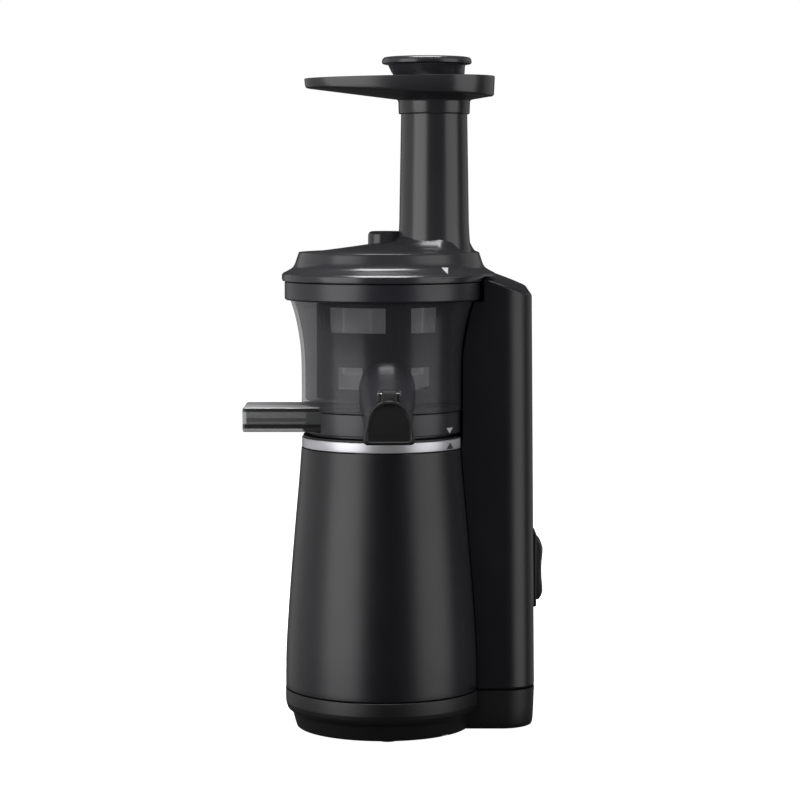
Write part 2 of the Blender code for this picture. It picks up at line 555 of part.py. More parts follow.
# ---- the press: auger, strainer, brush cage ------------------------------------------------------
def build_press():
    bottom, top = 222.0, 283.0
    core = [(0, 205), (8, 205), (8, 211.4), (9.6, 211.4), (9.6, 217.3), (12.2, 217.8), (12.2, 221.6),
            (17, 224.5), (13, top), (4, 284), (4, 295.5), (0, 295.5)]
    auger = turned("auger", core, "auger_resin", sides=32)
    combine(auger, "UNION", prism("cut_auger_gear", tooth_outline(AUGER_TEETH, BRUSH_MODULE), 211.0, 217.6))
    turns, steps = 2.2, 52
    loops = []
    for step in range(steps + 1):
        share = step / steps
        angle = 2 * math.pi * turns * share
        height = bottom + 4 + (top - bottom - 9) * share
        reach = 30.6 - 2.5 * (1 - share) + 0.4 * share
        across = (math.cos(angle), math.sin(angle))
        section = [(10, -2.6), (reach, -1.2), (reach, 1.2), (10, 2.6)]
        loops.append([(across[0] * r, across[1] * r, height + dz) for r, dz in section])
    combine(auger, "UNION", lofted("cut_flight", loops))
    combine(auger, "DIFFERENCE", prism("cut_auger_socket", hexagon(HEXAGON + 0.55), 200, 228))

    floor = 218.6
    frame = turned("strainer_frame", [(13.4, floor), (34.6, floor), (36.4, top), (34.4, top), (33.4, 221.5),
                                      (13.4, 221.5)], "auger_resin")
    (left, near), (right, far) = PULP_HOLE
    leg_low = (left - 1.5, near - 1.5, BOWL_FLOOR[1] + GAP)
    leg = block("cut_strainer_leg", leg_low, (right + 1.5, far + 1.5, 220))
    post_spot = (IDLER_REACH * math.cos(math.radians(-40)), IDLER_REACH * math.sin(math.radians(-40)))
    post = ring("cut_strainer_post", 0, 4, BOWL_FLOOR[1] + GAP, 220, centre=post_spot, sides=16)
    combine(frame, "UNION", leg, post)
    combine(frame, "DIFFERENCE", block("cut_leg_hole", (left, near, 205), (right, far, 225)))
    for k in range(6):
        angle = 2 * math.pi * k / 6
        pane = block(f"cut_strainer_pane_{k}", (30, -11, 227), (45, 11, 276))
        pane.rotation_euler = (0, 0, angle)
        combine(frame, "DIFFERENCE", pane)
    turned("strainer_screen", [(32.3, 222.0), (33.0, 222.0), (34.0, 281), (33.3, 281)], "steel")

    idler_spot = (IDLER_REACH * math.cos(IDLER_ANGLE), IDLER_REACH * math.sin(IDLER_ANGLE))
    idler_phase = mesh_phase(0.0, AUGER_TEETH, IDLER_ANGLE, IDLER_TEETH)
    low, high = BRUSH_LEVEL
    idler_teeth = moved(tooth_outline(IDLER_TEETH, BRUSH_MODULE, idler_phase), idler_spot)
    idler = prism("brush_idler", idler_teeth, low, high, "gear_nylon", pivot=(*idler_spot, 0))
    combine(idler, "DIFFERENCE", ring("cut_idler_bore", 0, 2.4, 200, 230, centre=idler_spot, sides=16))
    ring("idler_axle", 0, 2.0, BOWL_FLOOR[1] + GAP, 218.0, "steel", centre=idler_spot, sides=16)

    cage_in, cage_out, cage_top = CAGE
    cage = ring("brush_cage", cage_in - 1.2, cage_out, low - 0.4, high, "satin_black")
    turns = (IDLER_ANGLE - idler_phase) / (2 * math.pi / IDLER_TEETH)
    ring_phase = IDLER_ANGLE + (0.5 - turns) * 2 * math.pi / RING_TEETH
    gear_disc = ring("cut_ring_disc", 0, 42.0, low, high - 0.3)
    ring_teeth = tooth_outline(RING_TEETH, BRUSH_MODULE, ring_phase, True)
    combine(gear_disc, "DIFFERENCE", prism("cut_ring_teeth", ring_teeth, 200, 230))
    half_slot = math.degrees(1.35 / cage_in)
    windows = []                             # start and end in degrees, bottom, top
    for half in (-90, 90):
        windows += [(half - 67, half + 3, 254, 270), (half + 24, half + 55, 254, 270),
                    (half - 41.5, half - 17, 221, 234), (half + 24, half + 44, 221, 234)]
    for angle in BLADE_ANGLES:
        middle = math.degrees(angle)
        windows.append((middle - half_slot, middle + half_slot, 223.6, 276.4))
    wall = lattice_wall("cut_cage_wall", windows, high - 1, cage_top, cage_in, cage_out - 0.2)
    combine(cage, "UNION", gear_disc, wall)
    for index, angle in enumerate(BLADE_ANGLES, 1):
        blade = block(f"wiper_blade_{index}", (37.0, -1.0, 224), (49.4, 1.0, 276), "silicone")
        blade.rotation_euler = (0, 0, angle)


# ---- lid, hopper tray, pusher --------------------------------------------------------------------
def build_top():
    dish = [(0, 285), (54.4, 285), (54.4, 279), (56.2, 279), (56.2, 286.35), (65.6, 286.35), (65.8, 289.5),
            (64.9, 291.4), (60.4, 293.8), (57.3, 297.4), (55.4, 303.6), (54.2, 305.2), (30, 306.4),
            (0, 306.8)]
    lid = turned("lid", dish, "gloss_grey")
    over_tower = [circle((11, 6), 62.3, TOWER_TOP + GAP + 0.2), circle((9.4, 5), 60.6, 293.4),
                  circle((6, 3), 58.4, 299.0), circle((4, 2), 56.2, 304.6)]
    lobe = lofted("cut_lid_lobe", over_tower)
    boss = ring("cut_lid_boss", 0, 9.8, 300, 318.5, sides=SIDES)
    tube = turned("cut_lid_tube", [(0, 300), (24.5, 300), (23.0, 309), (22.6, 318), (21.2, TUBE_TOP),
                                   (0, TUBE_TOP)], centre=TUBE)
    mound = lofted("cut_lid_mound", [circle((22, -8), 31.5, 303), circle((26, -8), 29.0, 309.0),
                                     circle((31, -8), 24.5, 314.0)])
    throat = lofted("cut_lid_throat", [circle((21.5, -5), 10.8, 282), circle(TUBE, 18.5, 303),
                                       circle(TUBE, TUBE_BORE, 410)])
    bush_seat = ring("cut_bush_seat", 0, 7.0, 280, 297.5, sides=SMALL_SIDES)
    combine(lid, "UNION", lobe, mound, boss, tube)
    combine(lid, "DIFFERENCE", throat, bush_seat)
    ring("lid_gasket", 56.5, 58.05, 280, 283, "silicone")
    ring("top_bush", 4.35, 6.65, 285.4, 296.5, "bronze", sides=SMALL_SIDES)

    def outline(shrink, right_z, left_z):
        """The hopper's outline at a slope: a half circle round the tube, drawn out to a half ellipse."""
        points = []
        for i in range(SIDES):
            angle = 2 * math.pi * i / SIDES
            reach = TRAY_RADIUS if math.cos(angle) >= 0 else TUBE[0] - TRAY_TIP
            px = TUBE[0] + (reach - shrink) * math.cos(angle)
            share = (TUBE[0] + TRAY_RADIUS - px) / (TUBE[0] + TRAY_RADIUS - TRAY_TIP)
            py = TUBE[1] + (TRAY_RADIUS - shrink) * math.sin(angle)
            points.append((px, py, right_z + (left_z - right_z) * share))
        return points

    loops = [outline(0, TRAY_TOP, TRAY_TOP), outline(0.6, 405.3, 410.6), outline(1.6, 404.6, 410.0)]
    collar = [(23.4, 402.2), (23.0, 393.6), (21.95, 393.6), (21.75, 402.4), (19.0, 402.4), (19.2, 405.2)]
    loops += [circle(TUBE, radius, height) for radius, height in collar]
    loops += [outline(3.2, 407.8, 412.9), outline(2.3, TRAY_TOP, TRAY_TOP)]
    lofted("hopper_tray", loops, "gloss_grey", endless=True)

    cap_spot = (TUBE[0] + PUSHER_SHIFT, TUBE[1])
    shaft = [(15.6, 330), (16.8, 331.5), (17.6, 400), (18.0, 407)]
    cap = [(24.6, 425), (28.6, 425.6), (29.1, 427.2), (28.6, 429.4), (26.4, PUSHER_TOP)]
    loops = [circle(TUBE, radius, height) for radius, height in shaft]
    loops += [circle(cap_spot, radius, height) for radius, height in cap]
    lofted("pusher", loops, "gloss_grey")


clear_scene()
MATERIALS = {name: make_material(name) for name in FINISHES}
build_casings()
build_switch()
build_drive()
build_cap(build_bowl())
build_press()
build_top()
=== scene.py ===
# %% [markdown]
# # An upright slow juicer, modelled as a lesson
# The working model (every solid, its size and its joints) comes from the frame that is loaded here. This script
# makes the surfaces that the eye sees: satin mouldings, a smoked bowl, a metal band and a polished lid. Each new
# piece goes where the frame says, rides on one of its bodies, and stands for the plain solid that it hides.

# %% Load the frame and keep its size
import math

import bmesh
import bpy
from mathutils import Matrix, Vector


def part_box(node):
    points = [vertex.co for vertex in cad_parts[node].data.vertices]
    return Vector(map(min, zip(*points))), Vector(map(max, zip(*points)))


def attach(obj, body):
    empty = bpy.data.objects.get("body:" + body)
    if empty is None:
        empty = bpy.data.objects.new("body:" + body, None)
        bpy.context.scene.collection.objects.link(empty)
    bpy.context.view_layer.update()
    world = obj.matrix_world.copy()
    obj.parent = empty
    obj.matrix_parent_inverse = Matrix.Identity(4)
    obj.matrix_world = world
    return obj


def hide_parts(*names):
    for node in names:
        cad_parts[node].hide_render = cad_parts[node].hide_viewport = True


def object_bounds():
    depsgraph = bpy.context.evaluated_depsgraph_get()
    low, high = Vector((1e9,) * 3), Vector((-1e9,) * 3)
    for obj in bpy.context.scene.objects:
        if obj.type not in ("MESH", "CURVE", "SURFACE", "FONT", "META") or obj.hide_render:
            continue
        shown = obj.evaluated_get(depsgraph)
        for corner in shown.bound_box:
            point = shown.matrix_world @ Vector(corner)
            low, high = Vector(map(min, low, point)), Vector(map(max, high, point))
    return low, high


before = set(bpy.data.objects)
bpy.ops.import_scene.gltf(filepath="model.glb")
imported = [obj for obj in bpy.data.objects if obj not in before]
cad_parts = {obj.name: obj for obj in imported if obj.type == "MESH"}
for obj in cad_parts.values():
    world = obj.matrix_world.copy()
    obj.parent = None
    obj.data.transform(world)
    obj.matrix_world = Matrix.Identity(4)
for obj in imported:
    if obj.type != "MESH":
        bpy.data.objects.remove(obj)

CAD_BOX = [list(corner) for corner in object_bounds()]
print("working model", [round(high - low, 4) for low, high in zip(*CAD_BOX)])

# %% [markdown]
# ## Small tools
# Blender counts in metres, but a maker thinks in millimetres, so `MM` turns one into the other. An operator acts on
# everything that is selected, so `pick` clears the selection before it takes one piece. `finish_mesh` joins doubled
# points, turns the faces outwards and shades the piece smooth up to a crease angle.

# %% Units, selection and clean-up
MM = 0.001
DATUM = 5.5                     # heights count from the motor's footing, this far above the underside
DOUBLED = 0.000002              # points closer than this many metres are one point
AROUND = 128                    # steps round a large turned piece
FINE = 48                       # steps round a small one


def deselect():
    for other in bpy.context.selected_objects:
        other.select_set(False)


def pick(piece):
    deselect()
    piece.select_set(True)
    bpy.context.view_layer.objects.active = piece


def open_mesh():
    bpy.ops.object.mode_set(mode="EDIT")
    bpy.ops.mesh.select_all(action="SELECT")


def finish_mesh(piece, crease=32):
    pick(piece)
    open_mesh()
    bpy.ops.mesh.remove_doubles(threshold=DOUBLED)
    bpy.ops.mesh.delete_loose()
    bpy.ops.mesh.select_all(action="SELECT")
    bpy.ops.mesh.normals_make_consistent(inside=False)
    bpy.ops.object.mode_set(mode="OBJECT")
    bpy.ops.object.shade_smooth_by_angle(angle=math.radians(crease))
    return piece


def settle(piece):
    """Puts the piece's place, turn and size into its mesh, so that its object sits at the origin."""
    pick(piece)
    bpy.ops.object.transform_apply(location=True, rotation=True, scale=True)
    return piece


def apply_modifier(piece, kind, **settings):
    modifier = piece.modifiers.new(kind.lower(), kind)
    for name, value in settings.items():
        setattr(modifier, name, value)
    pick(piece)
    bpy.ops.object.modifier_apply(modifier=modifier.name)


def bevel(piece, width_mm, segments, corner=50):
    apply_modifier(piece, "BEVEL", width=width_mm * MM, segments=segments, limit_method="ANGLE",
                   angle_limit=math.radians(corner))


def cut(piece, tool, operation="DIFFERENCE"):
    """Takes a tool piece away from the piece, or joins the two; the tool is removed afterwards."""
    apply_modifier(piece, "BOOLEAN", operation=operation, object=tool, solver="EXACT")
    bpy.data.objects.remove(tool, do_unlink=True)


# %% [markdown]
# Most of this object was made on round tools, so most pieces are turned: a closed outline of (radius, height) points
# is spun about a vertical axis. A real moulding has no sharp edge, so `soften` first puts an arc into every corner
# that names a radius as its third number. Those arcs are what catch the light as thin bright lines.

# %% Outlines with rounded corners, and the spin
def soften(points, steps=5):
    rounded = []
    count = len(points)
    for i, point in enumerate(points):
        corner = Vector(point[:2])
        radius = point[2] if len(point) > 2 else 0.0
        to_last = Vector(points[i - 1][:2]) - corner
        to_next = Vector(points[(i + 1) % count][:2]) - corner
        opening = to_last.angle(to_next) if radius and to_last.length and to_next.length else math.pi
        if radius == 0.0 or opening > math.radians(176):
            rounded.append(tuple(corner))
            continue
        reach = min(radius / math.tan(opening / 2), 0.48 * to_last.length, 0.48 * to_next.length)
        radius = reach * math.tan(opening / 2)
        middle = corner + (to_last.normalized() + to_next.normalized()).normalized() * radius / math.sin(opening / 2)
        start = corner + to_last.normalized() * reach - middle
        end = corner + to_next.normalized() * reach - middle
        sweep = start.angle_signed(end)
        for k in range(steps + 1):
            spoke = start.copy()
            spoke.rotate(Matrix.Rotation(-sweep * k / steps, 2))
            rounded.append(tuple(middle + spoke))
    return rounded


def start_ring(name, places, fill="NOTHING"):
    """A ring through these places, in metres, as a new piece that is open for editing."""
    deselect()
    bpy.ops.mesh.primitive_circle_add(vertices=len(places), radius=0.01, fill_type=fill)
    piece = bpy.context.object
    piece.name = name
    for vertex, place in zip(piece.data.vertices, places):
        vertex.co = place
    open_mesh()
    return piece


def spin_piece(name, outline, centre=(0.0, 0.0), steps=AROUND, crease=32):
    """Turns a closed outline of (radius, height) points in mm about a vertical axis through centre."""
    piece = start_ring(name, [(radius * MM, 0.0, height * MM) for radius, height in outline])
    bpy.ops.mesh.spin(steps=steps, angle=2 * math.pi, center=(0, 0, 0), axis=(0, 0, 1))
    bpy.ops.object.mode_set(mode="OBJECT")
    piece.data.transform(Matrix.Translation((centre[0] * MM, centre[1] * MM, 0)))
    return finish_mesh(piece, crease)


# %% [markdown]
# A piece that isn't round is lofted: a ring of points is made, and its edge is extruded again and again, each new
# ring moved to its own place. Ends are filled, or the last ring meets the first one and closes the skin.

# %% The loft
def loft_piece(name, rings, endless=False, crease=32):
    piece = start_ring(name, [Vector(point) * MM for point in rings[0]])
    if not endless:
        bpy.ops.mesh.edge_face_add()
        bpy.ops.mesh.select_all(action="SELECT")
    extrude = bpy.ops.mesh.extrude_edges_indiv if endless else bpy.ops.mesh.extrude_region
    for ring in rings[1:] + ([rings[0]] if endless else []):
        extrude()
        mesh = bmesh.from_edit_mesh(piece.data)
        mesh.verts.ensure_lookup_table()
        for vertex, point in zip(sorted((v for v in mesh.verts if v.select), key=lambda v: v.index), ring):
            vertex.co = Vector(point) * MM
        bmesh.update_edit_mesh(piece.data)
    bpy.ops.object.mode_set(mode="OBJECT")
    return finish_mesh(piece, crease)


def circle(radius, height, centre=(0.0, 0.0), count=96):
    """Points in mm round a level circle, as one ring of a loft."""
    angles = [2 * math.pi * k / count for k in range(count)]
    return [(centre[0] + radius * math.cos(a), centre[1] + radius * math.sin(a), height) for a in angles]


# %% [markdown]
# A casting such as the switch key or the spout's ears starts as a box. It is moved and sized as it is added, and a
# bevel rounds its edges; the modifier is applied, so the piece leaves as plain mesh.

# %% The rounded box
def box_piece(name, low, high, round_mm, segments=4):
    deselect()
    middle = [(a + b) / 2 * MM for a, b in zip(low, high)]
    bpy.ops.mesh.primitive_cube_add(size=1, location=middle)
    piece = bpy.context.object
    piece.name = name
    piece.scale = [(b - a) * MM for a, b in zip(low, high)]
    settle(piece)
    bevel(piece, round_mm, segments, corner=30)
    return finish_mesh(piece)


def take(piece, material, body, slot, *nodes, lift=DATUM):
    """Lifts a finished piece off the datum and gives it its material, its body and the solids it stands for; slot is
    not used.
    """
    piece.data.transform(Matrix.Translation((0, 0, lift * MM)))
    piece.data.materials.clear()
    piece.data.materials.append(material)
    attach(piece, body)
    if nodes:
        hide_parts(*nodes)
    return piece


# %% [markdown]
# ## Finishes
# Each finish is named for the real material. Colours are written as sRGB hex, the way a paint card gives them, and one
# function turns them linear. `add_node` puts in one node with its settings and links, and the small functions after it
# lay a noise, a mixed colour, a gloss or a bump, so that a material below reads like a list of what lies on the
# surface. Patterns use Object coordinates, and every piece sits at the origin, so a pattern's scale is one over a real
# size in metres.

# %% Colour and node helpers
def paint(code, alpha=1.0):
    values = []
    for start in (1, 3, 5):
        channel = int(code[start:start + 2], 16) / 255
        values.append(channel / 12.92 if channel <= 0.04045 else ((channel + 0.055) / 1.055) ** 2.4)
    return (*values, alpha)


def add_node(tree, kind, inputs=None, **settings):
    node = tree.nodes.new(kind)
    for name, value in settings.items():
        setattr(node, name, value)
    for name, value in (inputs or {}).items():
        if isinstance(value, bpy.types.NodeSocket):
            tree.links.new(value, node.inputs[name])
        else:
            node.inputs[name].default_value = value
    return node


def start_material(name, **values):
    """A Principled material with these uniform values on its own sockets, and the coordinates for its patterns."""
    material = bpy.data.materials.new(name)
    material.use_nodes = True
    tree = material.node_tree
    shader = tree.nodes["Principled BSDF"]
    for socket, value in values.items():
        shader.inputs[socket.replace("_", " ")].default_value = value
    place = add_node(tree, "ShaderNodeTexCoord").outputs["Object"]
    return material, tree, shader, place


def noise(tree, place, size_mm, detail):
    return add_node(tree, "ShaderNodeTexNoise", {"Vector": place, "Scale": 1 / (size_mm * MM),
                                                 "Detail": detail}).outputs["Fac"]


def mixed(tree, factor, low, high):
    return add_node(tree, "ShaderNodeMix", {"Factor": factor, 6: low, 7: high}, data_type="RGBA").outputs[2]


def lay_gloss(tree, shader, pattern, roughness, wander):
    """Lets the roughness wander with the pattern."""
    gloss = add_node(tree, "ShaderNodeMapRange", {"Value": pattern, "To Min": roughness - wander,
                                                  "To Max": roughness + wander})
    tree.links.new(gloss.outputs["Result"], shader.inputs["Roughness"])


def lay_bump(tree, shader, pattern, depth_mm, strength):
    bump = add_node(tree, "ShaderNodeBump", {"Height": pattern, "Distance": depth_mm * MM, "Strength": strength})
    tree.links.new(bump.outputs["Normal"], shader.inputs["Normal"])


# %% [markdown]
# ** Moulded plastic.** ABS comes out of a steel tool. A spark-eroded tool leaves a fine matt grain, which spreads the
# highlight into the soft bands that a black casing shows; a polished tool leaves a gloss with a very slight
# waviness. So one function lays a grain of a given size and depth over the surface, lets the colour and the
# roughness wander a little over a few centimetres, and leaves the rest to the shader. The grain of the real casing is
# about 0.1 mm, too fine to see at this size, so it is drawn 0.5 mm wide. The strainer's frame has a faint painted
# glow, a painted light that stands for the light that reaches it through the smoke from all sides.

# %% Plastics
def moulded(name, dark, light, roughness, grain_mm, depth_mm, wander=0.04, ior=1.53, **extra):
    material, tree, shader, place = start_material(name, IOR=ior, **extra)
    patches = noise(tree, place, 30, 3.0)
    tree.links.new(mixed(tree, patches, paint(dark), paint(light)), shader.inputs["Base Color"])
    lay_gloss(tree, shader, patches, roughness, wander)
    lay_bump(tree, shader, noise(tree, place, grain_mm, 2.0), depth_mm, 0.6)
    return material


# Painted light: a faint emission on the strainer's frame and screen, standing for light that reaches them through the
# smoke
PAINTED_GLOW = {"Emission_Color": paint("#cfcfd2"), "Emission_Strength": 0.26}
SATIN_ABS = moulded("satin black ABS, spark-eroded tool", "#0e0e14", "#121219", 0.36, 0.5, 0.006)
MATT_ABS = moulded("matt black ABS, coarse tool", "#08080c", "#0c0c11", 0.46, 0.7, 0.012)
GLOSS_ABS = moulded("polished dark grey ABS", "#2e2e31", "#323235", 0.25, 6.0, 0.01, wander=0.02)
CAP_ABS = moulded("matt black polypropylene", "#060608", "#09090c", 0.50, 0.5, 0.01)
GEAR_NYLON = moulded("natural nylon", "#d8d4c8", "#dedace", 0.42, 1.2, 0.01)
SIEVE_RESIN = moulded("pale glass-filled polyamide, painted glow", "#c8c8ca", "#cececf", 0.45, 1.5, 0.02, **PAINTED_GLOW)
SCREW_RESIN = moulded("dark glass-filled polyetherimide", "#232326", "#2b2b2e", 0.38, 1.5, 0.02)
COLLAR_ABS = moulded("smoke-tinted collar resin", "#25252c", "#292930", 0.34, 0.6, 0.004)
SILICONE = moulded("grey silicone", "#1c1c1f", "#222225", 0.62, 1.0, 0.01, ior=1.41)
RUBBER = moulded("black nitrile rubber", "#0e0e0e", "#131313", 0.78, 0.9, 0.02, ior=1.52)
SWITCH_PA = moulded("black nylon switch case", "#141416", "#18181a", 0.48, 0.8, 0.01)
PRINT_GREY = moulded("pad-printed grey ink", "#c6c6c8", "#cececf", 0.45, 0.4, 0.004)
PRINT_DARK = moulded("pad-printed dark ink", "#3a3a3e", "#424246", 0.45, 0.4, 0.004)

# %% [markdown]
# ** Smoked copolyester.** The bowl and the chute are a clear plastic with a grey dye. Light that crosses two walls
# loses most of its strength, so what lies inside shows as a veiled grey. The veil is the shader's alpha: every skin
# of the wall covers a part of what is behind it, and the polish on top stays sharp. The flat chute is painted in level
# bands of light and shade: two dark bands of painted shade, where its upper and its lower wall are seen edge-on with
# more plastic in the way, and a pale band along its top, a painted highlight where light falls on the top face.

# %% Smoked plastic
def smoked(name, dark, light, cover, roughness, span=(), bands=()):
    """A veil of one strength; bands of (share of the height span, colour, cover) paint level bands of light and shade.
    """
    material, tree, shader, place = start_material(name, IOR=1.54, Alpha=cover)
    cloud = noise(tree, place, 18, 2.0)
    colour = mixed(tree, cloud, paint(dark), paint(light))
    if bands:
        split = add_node(tree, "ShaderNodeSeparateXYZ", {"Vector": place})
        share = add_node(tree, "ShaderNodeMapRange", {"Value": split.outputs["Z"], "From Min": span[0] * MM,
                                                      "From Max": span[1] * MM})
        ramp = add_node(tree, "ShaderNodeValToRGB", {"Fac": share.outputs["Result"]})
        stops = ramp.color_ramp.elements
        for position, code, strength in bands[1:-1]:
            stops.new(position).color = paint(code, strength)
        stops[0].color, stops[-1].color = (paint(*bands[k][1:]) for k in (0, -1))
        tree.links.new(ramp.outputs["Alpha"], shader.inputs["Alpha"])
        colour = mixed(tree, 0.85, colour, ramp.outputs["Color"])
    tree.links.new(colour, shader.inputs["Base Color"])
    lay_gloss(tree, shader, cloud, roughness, 0.02)
    lay_bump(tree, shader, cloud, 0.05, 0.3)
    return material


SMOKE_BOWL = smoked("smoked copolyester, bowl", "#3c3c41", "#414146", 0.52, 0.26)
DUCT_LOW, DUCT_HIGH = 190.2, 206.2          # the chute's underside and top
# The chute's bands, low to high: grey, a dark band of painted shade, lighter grey, a second dark band of painted
# shade, and a pale painted highlight on the top face
SMOKE_CHUTE_PAINTED_BANDS = smoked("smoked copolyester, chute, painted light and shade", "#5c5d5e", "#626364", 0.55, 0.12,
                     (DUCT_LOW + DATUM, DUCT_HIGH + DATUM), [
    (0.0, "#4a4a4c", 0.6), (0.17, "#4a4a4c", 0.6), (0.20, "#161618", 0.9), (0.31, "#161618", 0.9),
    (0.35, "#6a6b6c", 0.55), (0.80, "#6a6b6c", 0.55), (0.85, "#161618", 0.9), (0.97, "#161618", 0.9),
    (0.985, "#c4c5c6", 0.95), (1.0, "#c4c5c6", 0.95)])

# %% [markdown]
# ** Metals.** The band is aluminium that was turned and then brushed round the axis, so its scratches run level: the
# noise is stretched sideways by squeezing its height. Its lacquer scatters some of the light, so it counts as six
# tenths metal. Metals keep the default IOR and take their colour from the reflection. Machined steel is the same with
# a tighter grain. The strainer's screen is steel sheet with rows of small holes; they are drawn 1.1 mm apart, in
# staggered rows, with an angle and a height in place of x and y, and it carries the same faint painted glow as its
# frame, a painted light for the light that reaches it through the bowl.

# %% Metals
def brushed(name, code, roughness, line_mm, squeeze, metallic=1.0):
    material, tree, shader, place = start_material(name, Metallic=metallic, Base_Color=paint(code))
    stretched = add_node(tree, "ShaderNodeMapping", {"Vector": place, "Scale": (1.0, 1.0, squeeze)})
    lines = noise(tree, stretched.outputs["Vector"], line_mm, 3.0)
    lay_gloss(tree, shader, lines, roughness, 0.08)
    lay_bump(tree, shader, lines, 0.01, 0.5)
    return material


def perforated(name, pitch_mm, radius_mm):
    # The emission is the painted glow, a painted light for what reaches the screen through the bowl
    material, tree, shader, place = start_material(name, Metallic=0.15, Roughness=0.55, **PAINTED_GLOW)
    split = add_node(tree, "ShaderNodeSeparateXYZ", {"Vector": place})

    def reckon(operation, *values):
        return add_node(tree, "ShaderNodeMath", dict(enumerate(values)), operation=operation).outputs[0]

    angle = reckon("ARCTAN2", split.outputs["Y"], split.outputs["X"])
    along = reckon("MULTIPLY", angle, radius_mm / pitch_mm)
    up = reckon("MULTIPLY", split.outputs["Z"], 1 / (pitch_mm * MM))
    stagger = reckon("MULTIPLY_ADD", reckon("FLOOR", up), 0.5, along)
    spot = add_node(tree, "ShaderNodeCombineXYZ", {"X": reckon("FRACT", stagger), "Y": reckon("FRACT", up)})
    reach = add_node(tree, "ShaderNodeVectorMath", {0: spot.outputs[0], 1: (0.5, 0.5, 0.0)}, operation="DISTANCE")
    edge = add_node(tree, "ShaderNodeMapRange", {"Value": reach.outputs["Value"], "From Min": 0.24, "From Max": 0.30})
    colour = mixed(tree, edge.outputs["Result"], paint("#c4c4c6"), paint("#eeeef0"))
    tree.links.new(colour, shader.inputs["Base Color"])
    return material


BAND_METAL = brushed("brushed aluminium", "#d4d4d8", 0.38, 3.0, 12.0, metallic=0.6)
STEEL = brushed("stainless steel", "#b4b4b6", 0.26, 2.0, 6.0)
BRONZE = brushed("sintered bronze", "#a9805a", 0.40, 1.0, 1.0)
SCREEN_STEEL = perforated("perforated stainless steel, painted glow", 1.1, 33.0)
BOARD = moulded("green epoxy laminate", "#1d4a2c", "#235533", 0.5, 1.5, 0.02)
print("materials", len(bpy.data.materials))

# %% [markdown]
# ## The base
# The column is one tapering moulding: a turned shell whose outline falls in a slow curve from the band to the foot.
# Only a few heights are needed, because a smooth curve through them gives the rest; `smooth_line` reads that curve
# every few millimetres. The wall is 2.5 mm thick, and the shell is closed round its lower and upper edge.

# %% The column and the foot ring
COLUMN_WALL = 2.5
COLUMN = [(20.6, 64.0), (45, 63.7), (76, 61.8), (107, 59.4), (139, 56.6), (154, 55.2), (178.1, 53.3)]


def smooth_line(points, step):
    """A Catmull-Rom curve through (height, radius) points, read at about one point per step of height."""
    ends = [points[0]] + points + [points[-1]]
    read = []
    for before, start, end, after in zip(ends, ends[1:], ends[2:], ends[3:]):
        parts = max(1, round(abs(end[0] - start[0]) / step))
        for k in range(parts):
            t = k / parts
            weights = (-t + 2 * t ** 2 - t ** 3, 2 - 5 * t ** 2 + 3 * t ** 3, t + 4 * t ** 2 - 3 * t ** 3,
                       -t ** 2 + t ** 3)
            read.append(tuple(sum(w * p[i] for w, p in zip(weights, (before, start, end, after))) / 2
                              for i in (0, 1)))
    return read + [points[-1]]


column_line = [(radius, height) for height, radius in smooth_line(COLUMN, 6)]
inner = [(radius - COLUMN_WALL, height) for radius, height in reversed(column_line)]
outer = [(*column_line[0], 0.6), *column_line[1:-1], (*column_line[-1], 0.5)]
column = take(spin_piece("column_shell", soften(outer + inner)), SATIN_ABS, "base", "satin_black_abs",
              "front_housing")
print("column", len(column.data.polygons), "faces")

# %% [markdown]
# The foot is one moulding under both the column and the tower. Two solids make it: a turned dish, and a block whose
# lower edge is drawn in, step by step. The dish has a ledge a third of the way up, which shows as a dark line round
# the front. A union joins them, and then a dish-shaped room is cut out from above.

# %% The foot moulding
TOWER_LOW = (-24.0, -17.0)
TOWER_HIGH = (96.8, 91.8)
CORNER = 20.0
DRAFT = 2.6
FOOT_TOP = 20.0
TOP = 289.0


def rounded_outline(grow, corner, height, arc_steps=10):
    """The tower's plan at its top, grown on every side, as one level ring of points in mm."""
    low = [value - grow for value in TOWER_LOW]
    high = [value + grow for value in TOWER_HIGH]
    centres = [(high[0] - corner, high[1] - corner), (low[0] + corner, high[1] - corner),
               (low[0] + corner, low[1] + corner), (high[0] - corner, low[1] + corner)]
    ring = []
    for quarter, (x, y) in enumerate(centres):
        for step in range(arc_steps + 1):
            angle = math.radians(90 * quarter + 90 * step / arc_steps)
            ring.append((x + corner * math.cos(angle), y + corner * math.sin(angle), height))
    return ring


foot_outline = [(0, -DATUM), (56.8, -DATUM, 0.7), (57.8, -2.5, 2), (59.2, 2.6, 1), (59.8, 4.4, 0.6), (62.9, 7.0, 0.9),
                (63.6, 9.0, 1), (64.1, 11.5, 1), (64.2, FOOT_TOP, 0.5), (0, FOOT_TOP)]
foot = spin_piece("foot_moulding", soften(foot_outline))
steps = [(-DATUM, 2.4), (-5.0, 1.7), (-4.0, 1.3), (-2.0, 0.9), (8.0, 0.4), (FOOT_TOP, 0.0)]
block = loft_piece("foot_block", [rounded_outline(DRAFT - inset, CORNER, z) for z, inset in steps])
cut(foot, block, "UNION")
room = spin_piece("foot_room", soften([(0, -2.4), (53.5, -2.4, 3), (60.3, 10), (61.0, 30), (0, 30)]))
cut(foot, room)
room = loft_piece("foot_block_room", [rounded_outline(DRAFT - inset - 3.2, CORNER - 3.2, z + 3.1)
                                      for z, inset in ((-DATUM, 1.4), (-2.0, 0.9), (8.0, 0.4), (FOOT_TOP, 0.0))])
cut(foot, room)
for spot in ((38, -38), (-36, -34), (84, 60), (20, 80)):
    well = spin_piece("screw_well", [(0, -6.5), (4, -6.5), (4, -3.9), (2, -3.9), (2, 2.5), (0, 2.5)], centre=spot,
                      steps=FINE)
    cut(foot, well)
take(finish_mesh(foot), MATT_ABS, "base", "matt_black_abs", "base_tray")
print("foot", len(foot.data.polygons), "faces")

